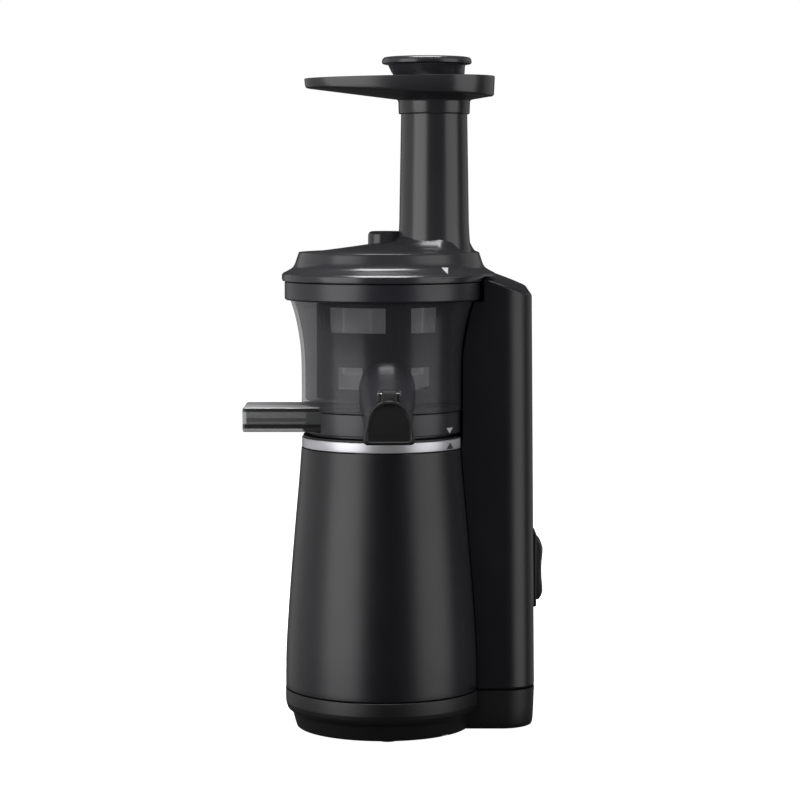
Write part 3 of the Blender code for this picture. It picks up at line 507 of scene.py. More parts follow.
# %% [markdown]
# The tower is a hollow casing that hugs the column and the bowl. It is lofted as a closed tube of rings: up the
# outside, over a small round at the top, and down the inside. Then a turned tool as wide as the column, the bowl and
# the lid's flange above each other is taken away from it, which leaves the hollow that the bowl sits in. The sides
# lean in by a half degree, and the top falls away to the right, so a wedge cuts it before the edges are rounded.

# %% The tower casing
SLOPE = math.tan(math.radians(20))


def draft(height):
    """How much further out each side of the tower stands at a height than at its top."""
    return DRAFT * (TOP - height) / (TOP - FOOT_TOP)


def hollow(extra):
    points = [(0, 5), (64.6 + extra, 5)] + [(r + 0.5 + extra, z) for r, z in column_line]
    points += [(54.6 + extra, 186), (54.6 + extra, 240), (58.2 + extra, 262), (61.2 + extra, 273)]
    return points + [(67.4 + extra, 273.4), (67.4 + extra, 320), (0, 320)]


def wedge(drop):
    """The air above the sloping part of the tower's top; the fold runs from x = 60 in front to 79 behind."""
    rings = []
    for y, fold in ((-60, 60), (140, 79)):
        start, end = TOP - drop + 4 * SLOPE, TOP - drop - (130 - fold) * SLOPE
        rings.append([(fold - 4, y, start), (130, y, end), (130, y, 340), (fold - 4, y, 340)])
    return loft_piece("wedge", rings)


def backwards(spot):
    """Lays a turned piece down, with its top to the rear, at a spot in mm."""
    return Matrix.Translation(Vector(spot) * MM) @ Matrix.Rotation(math.radians(-90), 4, "X")


tower = loft_piece("tower_casing", [rounded_outline(draft(z), CORNER, z) for z in (20.5, TOP)])
cut(tower, wedge(0.0))
finish_mesh(tower)
bevel(tower, 1.6, 4)
cut(tower, spin_piece("tower_hollow", hollow(0.0)))
room = loft_piece("tower_room", [rounded_outline(draft(z) - 3, CORNER - 3, z) for z in (10, TOP - 3)])
cut(room, wedge(3.0))
cut(room, spin_piece("room_hollow", hollow(2.6)))
cut(tower, room)
window = box_piece("switch_window", (80, 17.4, 72), (120, 42.6, 116), 1.0)
cut(tower, window)
gland_hole = spin_piece("gland_hole", [(0, -6), (6.4, -6), (6.4, 12), (0, 12)], steps=FINE)
gland_hole.data.transform(backwards((30, 91.2, 39.5)))
cut(tower, gland_hole)
take(finish_mesh(tower, 28), SATIN_ABS, "base", "satin_black_abs", "tower_shell")
print("tower", len(tower.data.polygons), "faces")

# %% [markdown]
# Between the column and the bowl lie the brushed band and a dark ledge with the shaft's seal in it. Their corners
# are only chamfered by a few tenths, which is what makes them look like separate parts.

# %% Band, deck, seal
band = spin_piece("brushed_band", soften([(50.35, 178.5, 0.2), (53.0, 178.5, 0.5), (53.0, 185.0, 0.5),
                                          (50.35, 185.0, 0.2)], 3))
take(band, BAND_METAL, "base", "satin_metal", "silver_band")
deck = spin_piece("deck_ledge", soften([(8.7, 181), (50, 181), (50, 185.3), (52.2, 185.3, 0.2), (52.2, 186.5, 0.5),
                                        (24, 186.5), (23, 185.7, 0.5), (14, 185.7, 0.5), (13, 186.5),
                                        (8.7, 186.5, 0.4)], 3))
take(deck, MATT_ABS, "base", "matt_black_abs", "top_deck")
seal = spin_piece("lip_seal", soften([(6.35, 184.6, 0.2), (7.2, 182.0, 0.3), (8.35, 182.0, 0.2), (8.35, 186.2, 0.5),
                                      (7.4, 186.2, 0.4), (7.0, 184.9, 0.3)], 3), steps=FINE)
take(seal, RUBBER, "base", "rubber_black", "shaft_seal")

# %% [markdown]
# Five rubber feet carry the machine. One is turned with a rounded edge and a shallow cup in its sole, and the others
# are copies, each with its own mesh. The cord's gland is a turned rubber bush with three grip rings.

# %% Feet and gland
for name in ("foot_front", "foot_left", "foot_right", "foot_rear", "foot_rear_left"):
    low, high = (Vector(corner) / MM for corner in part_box(name))
    spot = ((low.x + high.x) / 2, (low.y + high.y) / 2)
    pad = spin_piece(name + "_pad", soften([(0, -6.7), (3.6, -6.7, 0.2), (4.0, -6.98, 0.2), (5.9, -6.98, 0.4),
                                            (6.0, -5.85, 0.2), (0, -5.85)], 3), centre=spot, steps=FINE)
    take(pad, RUBBER, "base", "rubber_black", name)
grip = [(3.2, -8.5), (5.8, -8.5), (6.0, -3.4), (6.0, 0.3), (8.5, 0.3, 0.4), (8.3, 1.0, 0.2), (7.6, 1.2, 0.2),
        (7.6, 1.6, 0.2), (8.0, 1.8, 0.2), (7.8, 2.4, 0.3), (6.6, 3.0, 0.5), (3.2, 3.0, 0.4)]
gland = spin_piece("gland_bush", soften(grip, 3), steps=FINE)
gland.data.transform(backwards((30, 94.7, 39.5)))
take(finish_mesh(gland), RUBBER, "base", "rubber_black", "cord_gland")

# %% [markdown]
# The switch is a rocker with a raised pad at each end, so its outline is a shallow dish seen from the side. It is
# lofted across, with its two flanks drawn in a little, and sits in a thin frame with a rounded opening.

# %% Rocker and its frame
def rocker_side(y, inset):
    shape = [(99.8, -20.5), (103.0, -20.0), (104.8, -17.6), (105.7, -14.6), (105.7, -11.5), (105.1, -6), (104.9, 0),
             (105.1, 6), (105.7, 11.5), (105.7, 14.6), (104.8, 17.6), (103.0, 20.0), (99.8, 20.5), (98.3, 8),
             (93.8, 4), (93.8, -4), (98.3, -8)]
    return [(x - inset * (x > 101), y, 94 + z * (1 - inset / 22)) for x, z in shape]


key_rings = [rocker_side(y, inset) for y, inset in
             ((18.4, 0.9), (18.7, 0.35), (19.4, 0.0), (40.6, 0.0), (41.3, 0.35), (41.6, 0.9))]
key = take(loft_piece("rocker_key", key_rings, crease=40), GLOSS_ABS, "rocker", "gloss_grey_abs", "switch_rocker")
frame_ring = box_piece("rocker_frame", (99.15, 15, 69.5), (101.4, 45, 118.5), 0.9)
opening = box_piece("frame_opening", (90, 17.6, 72.2), (110, 42.4, 115.8), 1.2)
cut(frame_ring, opening)
take(finish_mesh(frame_ring), MATT_ABS, "base", "matt_black_abs", "switch_bezel")

# %% [markdown]
# ## The bowl
# The bowl's wall is 2.4 mm thick all the way: straight up from the base, then flared out like a tulip to meet the
# rim. The rim is thick, opaque and satin, because the lid's skirt stands behind it. Two openings are cut into the
# wall, where the juice leaves and where the pulp duct passes.

# %% The smoked bowl and its rim
BOWL = [(203, 53.2), (222, 53.1), (238, 53.4), (250, 54.6), (261, 56.6), (268, 58.4), (274.6, 60.6)]
BOWL_WALL = 2.4
AT_SPOUT = Matrix.Rotation(math.radians(3.3), 4, "Z")  # the spout points a little to the right
bowl_out = [(r, z) for z, r in smooth_line(BOWL, 3)]
bowl_in = [(r - BOWL_WALL, z) for r, z in reversed(bowl_out) if z > 211]
bowl_line = [(50.8, 206.5), (50.8, 203, 0.3), (*bowl_out[0], 0.4)] + bowl_out[1:] + bowl_in
bowl_line += [(50.8, 209, 1.2), (10.5, 209, 0.4), (10.5, 206.5, 0.4)]
bowl = spin_piece("smoked_bowl", soften(bowl_line))
cut(bowl, box_piece("duct_notch", (-62, -34.35, 195), (-30, 12.85, 206.48), 0.5))
cut(bowl, box_piece("pulp_hole", (-31.5, -10.5, 200), (-15.3, 10.5, 215), 1.0))
spout_hole = box_piece("spout_hole", (-11, -57, 211.5), (11, -45, 229), 3.0)
spout_hole.data.transform(AT_SPOUT)
cut(bowl, spout_hole)
take(finish_mesh(bowl), SMOKE_BOWL, "bowl", "smoke_copolyester", "bowl")
rim = spin_piece("bowl_rim", soften([(58.3, 274.7, 0.3), (63.3, 274.0, 0.8), (64.0, 275.2, 0.5), (64.0, 285.9, 0.6),
                                     (58.4, 285.9, 0.4)], 4))
take(rim, COLLAR_ABS, "bowl", "smoke_copolyester", "bowl")
collar_line = [(20, 188.6), (40, 188.6), (40, 186.85, 0.3), (48, 186.85, 0.3), (48, 188.6), (52.5, 188.6, 0.6),
               (52.5, 202.6, 0.4), (50, 202.6), (50, 189.8), (20, 189.8)]
collar = spin_piece("bowl_collar", soften(collar_line, 4))
cut(collar, box_piece("collar_notch", (-62, -34.35, 189.85), (-30, 12.85, 215), 0.4))
take(finish_mesh(collar), COLLAR_ABS, "bowl", "satin_black_abs", "bowl_base")
print("bowl", len(bowl.data.polygons), "faces")

# %% [markdown]
# The pulp duct is a flat tube with rounded edges. It starts as two boxes: the outer one, and the room inside that a
# difference takes out, open at the far end and open upwards under the strainer.

# %% The pulp duct
duct = box_piece("pulp_duct", (-90, -34, DUCT_LOW), (-13.5, 12.5, DUCT_HIGH), 1.6)
cut(duct, box_piece("duct_room", (-110, -31.8, 192.3), (-15.5, 10.3, 204.1), 1.2))
cut(duct, box_piece("duct_mouth", (-31.5, -10.4, 195), (-15.6, 10.2, 215), 0.8))
take(finish_mesh(duct), SMOKE_CHUTE_PAINTED_BANDS, "bowl", "smoke_copolyester", "pulp_chute")

# %% [markdown]
# The spout's hood swells out of the bowl like an arched hood over a window. It is lofted outwards: every ring is an
# arch, and the arches sink and narrow on their way to the mouth. The rings run out along the outside and come back
# along the inside, so the hood is a closed wall 2 mm thick. Its first ring lies on the bowl's own curve.

# %% The spout's hood
HOOD = [(0.0, 18.0, 205.0, 237.5), (0.12, 17.7, 203.0, 235.5), (0.30, 17.0, 199.0, 231.0), (0.50, 16.1, 194.5, 225.5),
        (0.68, 15.3, 190.8, 220.0), (0.84, 14.7, 188.4, 215.6), (0.95, 14.2, 187.6, 213.4), (1.0, 13.8, 187.8, 212.9)]


def arch(share, half_width, low, high, inset, out_to=71.4, count=40):
    """An upright arch, share of the way from the bowl's wall to the mouth, as a ring of points in mm."""
    ring = []
    top_round = min(half_width, (high - low) * 0.62)
    for k in range(count):
        angle = 2 * math.pi * k / count
        side = math.cos(angle)
        rise = math.sin(angle)
        across = (half_width - inset) * math.copysign(abs(side) ** (0.9 if rise > 0 else 0.3), side)
        if rise > 0:
            height = high - inset - top_round + top_round * rise ** 1.1
        else:
            height = high - inset - top_round - (high - low - top_round - 2 * inset) * abs(rise) ** 0.3
        wall = math.sqrt(52.0 ** 2 - across ** 2)
        ring.append((across, -(wall + share * (out_to - wall)), height))
    return ring


hood_rings = [arch(*row, 0.0) for row in HOOD] + [arch(*row, 2.0) for row in reversed(HOOD)]
hood = loft_piece("spout_hood", hood_rings, endless=True, crease=40)
hood.data.transform(AT_SPOUT)
take(hood, SMOKE_BOWL, "bowl", "smoke_copolyester", "juice_spout")
for side, x in (("left", -6.4), ("right", 6.4)):
    ear = box_piece("hinge_ear_" + side, (x - 1.3, -72.6, 212.0), (x + 1.3, -66.0, 220.0), 1.0)
    ear.data.transform(AT_SPOUT)
    take(ear, SMOKE_BOWL, "bowl", "smoke_copolyester", "juice_spout")
print("hood", len(hood.data.polygons), "faces")

# %% [markdown]
# The drip-stop cap is a domed plate with a soft bevel all round, a neck, and a knuckle round the hinge's pin. The
# plate is lofted from its outline, a little smaller in front, so that the bevel shows as a thin lighter line.

# %% The drip-stop cap
def cap_outline(inset, out):
    """The cap seen from the front, drawn in by inset, at one distance out from the axis."""
    half = [(13.6, 186.0), (15.0, 186.4), (15.9, 187.3), (16.2, 188.7), (16.0, 192.0), (15.2, 196.5)]
    dome = [(14.2 * math.cos(a), 200.1 + 14.2 * math.sin(a)) for a in
            (math.radians(5 + 170 * k / 24) for k in range(25))]
    shape = half + dome + [(-x, z) for x, z in reversed(half)]
    return [(x * (1 - inset / 16), -out, 198.5 + (z - 198.5) * (1 - inset / 14)) for x, z in shape]


PLATE = [(0.5, 72.65), (0.0, 73.1), (0.0, 74.4), (0.35, 75.1), (1.1, 75.5), (1.9, 75.55), (2.3, 75.15), (3.2, 75.05),
         (6.0, 75.25)]
cap = loft_piece("drip_cap", [cap_outline(*row) for row in PLATE], crease=50)
NECK = [(69.4, 215.4), (72.2, 213.0), (73.2, 205.0), (75.0, 205.0), (75.3, 212.0), (74.6, 217.4), (73.0, 219.8),
        (70.6, 220.7), (68.6, 219.6), (67.9, 217.4)]
neck = loft_piece("cap_neck", [[(x, -out, z) for out, z in NECK] for x in (-4.7, 4.7)])
bevel(neck, 0.7, 3)
cut(cap, neck, "UNION")
pin_way = spin_piece("pin_way", [(0, -14), (1.35, -14), (1.35, 14), (0, 14)], steps=24)
AT_HINGE = Matrix.Translation(Vector((0, -70.6, 217.5)) * MM)
ACROSS = Matrix.Rotation(math.radians(90), 4, "Y")
pin_way.data.transform(AT_HINGE @ ACROSS)
cut(cap, pin_way)
cap.data.transform(AT_SPOUT)
take(finish_mesh(cap, 40), CAP_ABS, "cap", "cap_black", "juice_cap")
pin = spin_piece("hinge_pin", soften([(0, -7.4), (1.0, -7.4, 0.3), (1.0, 7.4, 0.3), (0, 7.4)], 3), steps=24)
pin.data.transform(AT_SPOUT @ AT_HINGE @ ACROSS)
take(finish_mesh(pin), STEEL, "bowl", "stainless_steel", "cap_hinge_pin")
print("cap", len(cap.data.polygons), "faces")

# %% [markdown]
# ## Inside the bowl
# Through the smoke one sees the brush cage: a dark basket with tall windows, turning round a steel screen. The
# basket starts as an open cylinder with a face every 2.5 degrees; level cuts are bisected into it, the faces of the
# windows are deleted, and a Solidify modifier gives the rest its wall. Its foot is a ring gear, lofted from a
# toothed outline, with the teeth on the inside. A small idler turns it, driven by the gear on the screw, and the two
# phases put a gap of the ring where the idler has a tooth.

# %% The brush cage
CAGE_OUT = 43.2
CAGE_WALL = 1.5
WINDOWS = [(-67.5, 2.5, 254, 270), (25, 55, 254, 270), (-42.5, -17.5, 218, 232), (25, 45, 218, 232)]
BLADES = [-77.2, 102.8]
deselect()
bpy.ops.mesh.primitive_cylinder_add(vertices=144, radius=CAGE_OUT * MM, depth=66.4 * MM, end_fill_type="NOTHING",
                                    location=(0, 0, 249.8 * MM))
basket = bpy.context.object
basket.name = "cage_basket"
settle(basket)
bpy.ops.object.mode_set(mode="EDIT")
for height in (218, 223.6, 232, 254, 270, 276.4):
    bpy.ops.mesh.select_all(action="SELECT")
    bpy.ops.mesh.bisect(plane_co=(0, 0, height * MM), plane_no=(0, 0, 1))
bpy.ops.mesh.select_all(action="DESELECT")
mesh = bmesh.from_edit_mesh(basket.data)
for face in mesh.faces:
    spot = face.calc_center_median() / MM
    angle = math.degrees(math.atan2(spot.y, spot.x))
    for half in (-90, 90):
        for start, end, low, high in WINDOWS:
            if (angle - half - start) % 360 < end - start and low < spot.z < high:
                face.select = True
    for blade in BLADES:
        if abs((angle - blade + 180) % 360 - 180) < 1.3 and 223.6 < spot.z < 276.4:
            face.select = True
bmesh.update_edit_mesh(basket.data)
bpy.ops.mesh.delete(type="FACE")
bpy.ops.object.mode_set(mode="OBJECT")
apply_modifier(basket, "SOLIDIFY", thickness=CAGE_WALL * MM, offset=-1.0)
finish_mesh(basket)
bevel(basket, 0.3, 2)
take(finish_mesh(basket), COLLAR_ABS, "cage", "satin_black_abs", "brush_cage")

SCREW_TEETH, IDLER_TEETH, RING_TEETH = 18, 22, 62
PITCH_RADIUS = RING_TEETH * 1.25 / 2                        # the teeth's module is 1.25 mm
IDLER_ANGLE = math.radians(60)
idler_phase = IDLER_ANGLE + math.pi + (IDLER_ANGLE * SCREW_TEETH / (2 * math.pi) + 0.5) * 2 * math.pi / IDLER_TEETH
RING_PHASE = IDLER_ANGLE + (0.5 - (IDLER_ANGLE - idler_phase) * IDLER_TEETH / (2 * math.pi)) * 2 * math.pi / RING_TEETH


def toothed(height):
    """The ring gear's inner outline: four points for each inward tooth, as the working model has them."""
    step = 2 * math.pi / RING_TEETH
    ring = []
    for k in range(RING_TEETH):
        for radius, share in ((PITCH_RADIUS + 1.375, -0.27), (PITCH_RADIUS - 1.0, -0.11),
                              (PITCH_RADIUS - 1.0, 0.11), (PITCH_RADIUS + 1.375, 0.27)):
            angle = (k + share) * step + RING_PHASE
            ring.append((radius * math.cos(angle), radius * math.sin(angle), height))
    return ring


count = 4 * RING_TEETH
turns = [RING_PHASE + (k - 1.5) * 2 * math.pi / count for k in range(count)]
gear_rings = [[(radius * math.cos(turn), radius * math.sin(turn), height) for turn in turns]
              for radius, height in ((43.3, 210.6), (43.4, 210.9), (43.4, 216.9), (43.2, 217.1))]
gear_rings += [toothed(217.0), toothed(211.0)]
gear = loft_piece("cage_gear", gear_rings, endless=True)
take(gear, COLLAR_ABS, "cage", "satin_black_abs", "brush_cage")
for number, angle in enumerate(BLADES, 1):
    strip = box_piece(f"wiper_strip_{number}", (37.0, -1.0, 224), (49.4, 1.0, 276), 0.9, segments=3)
    strip.data.transform(Matrix.Rotation(math.radians(angle), 4, "Z"))
    take(strip, SILICONE, "cage", "silicone_grey", f"wiper_blade_{number}")
screen = spin_piece("screen_sleeve", soften([(32.3, 222.0, 0.2), (33.0, 222.0, 0.2), (34.0, 281, 0.2),
                                             (33.3, 281, 0.2)], 2))
take(screen, SCREEN_STEEL, "bowl", "stainless_steel", "strainer_screen")
print("cage", len(basket.data.polygons), "faces")

# %% [markdown]
# ## The lid
# The lid is turned first, with rings every 2 mm across its top, and then pushed into shape point by point, the way a
# sculptor pulls clay. Three things are not round: the flank bulges out over the tower, a long swell runs from the
# feed tube down to the far left edge like a comet's tail, and the tube stands in a soft fillet. A formula for each
# moves the points up or out, on the outside and on the inside alike, so the wall keeps its thickness.

# %% The lid shell
TUBE = Vector((33.0, -8.0))
TAIL = Vector((-51.0, -17.0))
LOBE_ANGLE = math.radians(28)
LOBE_REACH = 9.4                # how far the flank bulges out over the tower
COVE = [(290.6, 65.7), (291.4, 64.9), (292.6, 62.6), (293.8, 60.4), (295.2, 58.6), (297.4, 57.3), (300.5, 56.2),
        (303.6, 55.2)]
lid_top = [(54.2 - 2.0 * k, 305.0 + 1.7 * (1 - ((54.2 - 2.0 * k) / 54.2) ** 2)) for k in range(1, 27)]
lid_line = [(54.4, 279, 0.3), (56.2, 279, 0.4), (56.2, 286.35), (65.5, 286.35, 0.4), (65.8, 288.0)]
lid_line += [(65.8, 289.45), (65.8, 289.7), (65.8, 290.3, 0.4)] + [(r, z) for z, r in smooth_line(COVE, 0.7)][1:]
lid_line += [(54.7, 304.9, 0.9)] + lid_top + [(0, 306.8)]
lid_line += [(0, 303.9)] + [(2.0 * k, 303.8 - 1.4 * (2.0 * k / 50) ** 2) for k in range(1, 25)]
lid_line += [(51.5, 301.6, 1.0), (53.2, 298.5), (54.4, 294.5)]
lid = spin_piece("lid_shell", soften(lid_line), steps=160)


def ease(value):
    value = min(max(value, 0.0), 1.0)
    return value * value * (3 - 2 * value)


def top_lift(x, y):
    """How far the swell and the tube's fillet raise the lid's top, in mm."""
    spot = Vector((x, y))
    axis = TAIL - TUBE
    share = min(max((spot - TUBE).dot(axis) / axis.length_squared, 0.0), 1.0)
    away = (spot - (TUBE + axis * share)).length
    width = 38.0 - 33.0 * share
    swell = 10.0 * (1 - share) ** 1.5 * ease(1.3 * (1 - away / width)) if away < width else 0.0
    collar = max(0.0, 1 - ((spot - TUBE).length - 22.5) / 6.0) if (spot - TUBE).length > 22.0 else 1.0
    return swell + 3.5 * min(collar, 1.0) ** 2


for vertex in lid.data.vertices:
    x, y, z = vertex.co / MM
    radius = math.hypot(x, y)
    if z > 289.5 and radius > 30:
        bulge = LOBE_REACH * max(0.0, math.cos(math.atan2(y, x) - LOBE_ANGLE)) ** 2 * ease((radius - 30) / 24)
        x, y = x * (1 + bulge / radius), y * (1 + bulge / radius)
    if z > 301.0 and radius < 54.0:
        z += top_lift(x, y) * ease((54.0 - radius) / 5.0)
    vertex.co = Vector((x, y, z)) * MM
cut(lid, spin_piece("tube_way", [(0, 280), (20.2, 280), (20.2, 340), (0, 340)], centre=TUBE))
take(finish_mesh(lid, 38), GLOSS_ABS, "lid", "gloss_grey_abs", "lid")
print("lid", len(lid.data.polygons), "faces")

# %% [markdown]
# The feed tube, the hub that holds the screw's upper end, and the funnel under the tube belong to the same moulding.
# The tube tapers a little, as a moulded tube must to leave its tool, and flares at the root.

# %% Feed tube, hub and funnel
tube_line = [(18.7, 300), (24.4, 300), (23.6, 308), (22.9, 316), (22.5, 324), (21.2, 401.9, 0.8), (18.7, 401.9, 0.8)]
tube = spin_piece("feed_tube", soften(tube_line), centre=TUBE)


def loaf(radius, height):
    """A short stadium from the axis towards the tube, as one level ring in mm."""
    ring = []
    for x, y, _ in circle(radius, height):
        ring.append((x + (5.0 if x > 0 else 0.0), y - (1.3 if x > 0 else 0.0), height))
    return ring


HUB = [(10.2, 303), (9.8, 308), (9.7, 316.0), (9.3, 317.2), (8.5, 318.0), (7.3, 318.4), (4.0, 318.5)]
hub = loft_piece("lid_hub", [loaf(*row) for row in HUB], crease=50)
boss = spin_piece("bush_boss", soften([(7.0, 285, 0.4), (9.4, 285, 0.4), (9.8, 304), (7.0, 304)], 3), steps=64)
funnel_rings = [circle(20.4, 303, TUBE), circle(12.8, 285.2, (21.5, -5)), circle(10.8, 285.2, (21.5, -5)),
                circle(18.5, 303, TUBE)]
funnel = loft_piece("feed_funnel", funnel_rings, endless=True)
for piece in (tube, hub, boss, funnel):
    take(piece, GLOSS_ABS, "lid", "gloss_grey_abs", "lid")
gasket = spin_piece("gasket_ring", soften([(56.5, 280, 0.4), (57.6, 280, 0.5), (58.05, 281.5, 0.5), (57.6, 283, 0.5),
                                           (56.5, 283, 0.4)], 3))
take(gasket, SILICONE, "lid", "silicone_grey", "lid_gasket")

# %% [markdown]
# ## Hopper and pusher
# Seen from above the hopper is half a circle round the tube, drawn out to half an ellipse on the other side. Its
# floor slopes down to the tube and its rim is deeper there, so every ring's height depends on how far along it a
# point lies. The rings run down the outside, round the collar and up the inside, and close on themselves.

# %% The hopper
HALF_ROUND = 39.0               # the half circle's radius, and half the hopper's depth
LONG_HALF = 83.6                # how far the half ellipse reaches on the other side


def pear(inset, at_tube, at_tip, count=160):
    """The hopper's plan drawn in by inset, as a ring whose height runs from at_tube to at_tip."""
    ring = []
    for k in range(count):
        angle = 2 * math.pi * k / count
        reach = HALF_ROUND if math.cos(angle) >= 0 else LONG_HALF
        x = TUBE.x + (reach - inset) * math.cos(angle)
        share = (TUBE.x + HALF_ROUND - x) / (HALF_ROUND + LONG_HALF)
        ring.append((x, TUBE.y + (HALF_ROUND - inset) * math.sin(angle), at_tube + (at_tip - at_tube) * share))
    return ring


OUTSIDE = [(0.5, 418.0, 416.4), (0.1, 417.8, 416.2), (0.0, 417.3, 415.7), (0.5, 406.2, 411.4), (0.9, 405.5, 410.8),
           (1.6, 405.0, 410.3), (2.6, 404.9, 410.1)]
NECK_ROUND = [(24.2, 402.9), (23.4, 402.3), (23.1, 401.4), (22.9, 394.4), (22.6, 393.8), (22.2, 393.6), (21.7, 393.6),
              (21.6, 402.3), (19.0, 402.3), (18.9, 404.0), (19.4, 405.0), (20.4, 405.5)]
INSIDE = [(6.0, 407.4, 412.6), (4.0, 407.9, 413.0), (3.0, 408.8, 413.8), (2.6, 410.5, 415.0), (2.3, 417.3, 415.7),
          (2.1, 417.8, 416.2), (1.7, 418.0, 416.4)]
hopper_rings = [pear(*row) for row in OUTSIDE] + [circle(radius, height, TUBE, 160) for radius, height in NECK_ROUND]
hopper_rings += [pear(*row) for row in INSIDE]
hopper = loft_piece("hopper_dish", hopper_rings, endless=True, crease=40)
take(hopper, GLOSS_ABS, "tray", "gloss_grey_abs", "hopper_tray")

# %% [markdown]
# The pusher hangs in the tube by its wide neck. Its cap stands a little to one side of the shaft, so the rings
# change their centre on the way up. The cap is a thin plate with a rounded edge and a shallow dish on top.

# %% The pusher
SHAFT = [(14.6, 330.0), (15.8, 330.4), (16.4, 331.4), (16.6, 340.0), (17.6, 400.0), (18.0, 407.0)]
THROAT = [(20.6, 413.0, 1.5), (23.6, 420.5, 4.0)]
PLATE_TOP = [(24.6, 424.4), (25.2, 425.2), (27.8, 425.5), (28.7, 426.0), (28.9, 427.0), (28.6, 428.6), (27.6, 429.7),
             (26.2, 430.0), (24.6, 429.8), (22.0, 429.0), (12.0, 428.5)]
push_line = [(*row, 0.0) for row in SHAFT] + THROAT + [(*row, 4.8) for row in PLATE_TOP]
push_rings = [circle(radius, height, (TUBE.x - aside, TUBE.y)) for radius, height, aside in push_line]
pusher = take(loft_piece("food_pusher", push_rings, crease=40), GLOSS_ABS, "pusher", "gloss_grey_abs", "pusher")
print("hopper", len(hopper.data.polygons), "faces; pusher", len(pusher.data.polygons), "faces")

# %% [markdown]
# ## Small printed marks
# Three little triangles show how the lid, the bowl and the base line up. Each starts as a flat triangle in front of
# its surface, cut finely, and a Shrinkwrap modifier throws it onto the curve; Solidify gives the ink its thickness.

# %% Alignment marks
def mark(name, corners, target, material, body, slot):
    piece = start_ring(name, [(Vector(point) + Vector((0, 0, DATUM))) * MM for point in corners], "NGON")
    bpy.ops.mesh.subdivide(number_cuts=5)
    bpy.ops.object.mode_set(mode="OBJECT")
    apply_modifier(piece, "SHRINKWRAP", target=target, wrap_method="NEAREST_SURFACEPOINT", offset=0.06 * MM,
                   wrap_mode="OUTSIDE_SURFACE")
    apply_modifier(piece, "SOLIDIFY", thickness=0.05 * MM, offset=0.0)
    return take(finish_mesh(piece, 60), material, body, slot, lift=0.0)


mark("mark_bowl", [(40.8, -33.2, 193.0), (45.0, -27.4, 193.0), (43.0, -30.3, 189.2)], collar, PRINT_GREY, "bowl",
     "satin_black_abs")
mark("mark_base", [(40.8, -33.9, 179.3), (45.3, -27.6, 179.3), (43.1, -30.8, 183.6)], band, PRINT_DARK, "base",
     "satin_metal")
mark("mark_lid", [(37.3, -44.6, 296.0), (41.4, -41.5, 295.7), (41.3, -48.9, 291.9)], lid, PRINT_GREY, "lid",
     "gloss_grey_abs")

# %% [markdown]
# ## The working parts that stay as they are
# Gears, shafts, bushes and the screw have the right shape already, so they only get their real finish, by filling
# the material slot of the solid itself.

# %% Finishes of the carried-over solids
KEPT = {
    STEEL: ["drive_shaft", "idler_axle", "motor_bracket", "motor_stator", "motor_rotor",
            *(f"base_screw_{k}" for k in (1, 2, 3, 4))],
    GEAR_NYLON: ["gear_a", "gear_b", "brush_idler"],
    SCREW_RESIN: ["auger"],
    SIEVE_RESIN: ["strainer_frame"],
    BRONZE: ["lower_bearing", "upper_bearing", "top_bush"],
    MATT_ABS: ["gearbox_housing", "gearbox_cover"],
    SILICONE: ["bowl_seal", "cap_pad"],
    SWITCH_PA: ["switch_body", "bowl_safety_switch"],
    BOARD: ["control_board"],
}
for material, names in KEPT.items():
    for name in names:
        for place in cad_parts[name].material_slots:
            place.material = material
print("kept solids", sum(len(names) for names in KEPT.values()))

# %% [markdown]
# ## Floor, camera and light
# The machine stands on a plain white floor, bright enough to melt into the background. Two tall softboxes left and
# right of the camera draw the two broad bands on the dark column, two weaker ones further back light its edges, and
# a panel overhead lights the lid. The surroundings are white to the camera and only a faint light to all else. The
# camera looks from a little above, with a long lens.

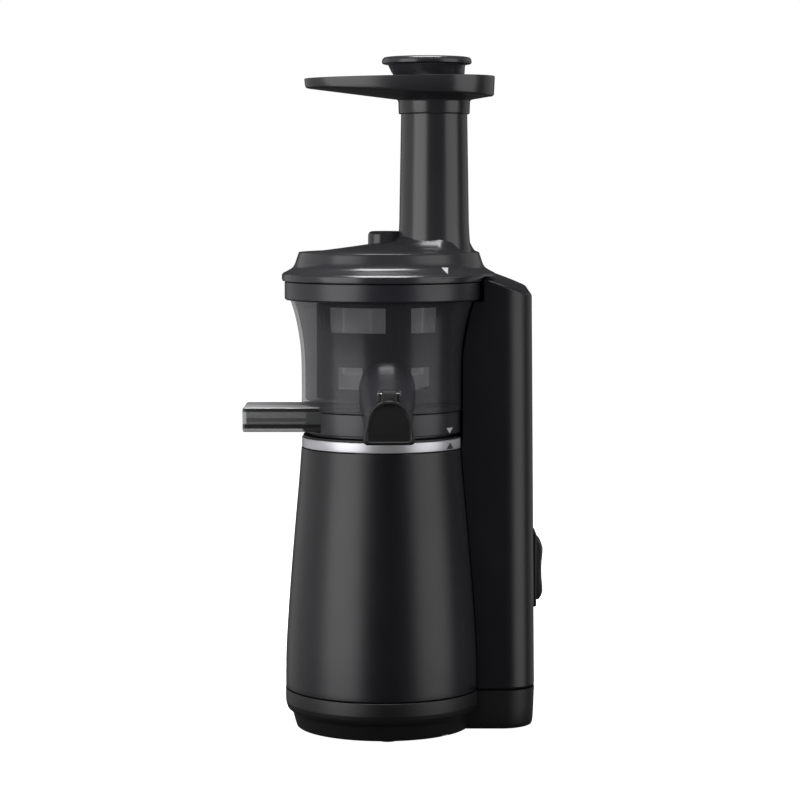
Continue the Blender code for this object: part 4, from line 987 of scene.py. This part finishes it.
# %% The floor
low, high = (Vector(corner) for corner in CAD_BOX)
deselect()
bpy.ops.mesh.primitive_circle_add(vertices=96, radius=6.0, fill_type="NGON", location=(0, 0, low.z))
floor = bpy.context.object
floor.name = "pale_floor"
settle(floor)
FLOOR_PAINT, tree, shader, place = start_material("matt white floor paint", Roughness=0.9, Emission_Strength=0.98)
tone = mixed(tree, noise(tree, place, 400, 2.0), paint("#f4f4f4"), paint("#fafafa"))
tree.links.new(tone, shader.inputs["Base Color"])
shader.inputs["Emission Color"].default_value = paint("#ffffff")
floor.data.materials.append(FLOOR_PAINT)
floor.visible_glossy = False
floor.visible_diffuse = False

# %% The camera
camera_data = bpy.data.cameras.new("catalogue camera")
camera_data.lens = 116.2                    # in mm, as the sensor's width is
camera_data.sensor_width = 36.0
camera = bpy.data.objects.new("catalogue camera", camera_data)
camera.location = (0.011, -1.68, low.z + 0.352)
LOOK_DOWN = 4.65                            # degrees below level
camera.rotation_euler = (math.radians(90 - LOOK_DOWN), 0, 0)
bpy.context.scene.collection.objects.link(camera)
bpy.context.scene.camera = camera

# %% The lamps and the surroundings
def soft_lamp(name, place, aim, width, height, power):
    data = bpy.data.lights.new(name, "AREA")
    data.shape = "RECTANGLE"
    data.size = width
    data.size_y = height
    data.energy = power
    lamp = bpy.data.objects.new(name, data)
    lamp.location = place
    lamp.rotation_mode = "QUATERNION"
    lamp.rotation_quaternion = (Vector(aim) - Vector(place)).to_track_quat("-Z", "Y")
    bpy.context.scene.collection.objects.link(lamp)


middle = (0.0, 0.0, 0.22)
soft_lamp("left softbox", (-1.02, -0.89, 0.35), middle, 1.15, 1.5, 14.2)
soft_lamp("left fill", (-1.43, 0.46, 0.35), middle, 2.7, 1.5, 7)
soft_lamp("right softbox", (1.20, -0.62, 0.35), middle, 1.13, 1.5, 8.4)
soft_lamp("right fill", (1.20, 1.0, 0.35), middle, 1.2, 1.5, 2)
soft_lamp("top panel", (0.0, -0.12, 1.55), middle, 0.85, 0.6, 25)

world = bpy.data.worlds.new("white studio")
world.use_nodes = True
tree = world.node_tree
background = tree.nodes["Background"]
background.inputs["Color"].default_value = paint("#ffffff")
seen = add_node(tree, "ShaderNodeLightPath").outputs["Is Camera Ray"]
level = add_node(tree, "ShaderNodeMapRange", {"Value": seen, "To Min": 0.05, "To Max": 1.0})
tree.links.new(level.outputs["Result"], background.inputs["Strength"])
bpy.context.scene.world = world
bpy.context.scene.view_settings.view_transform = "Standard"
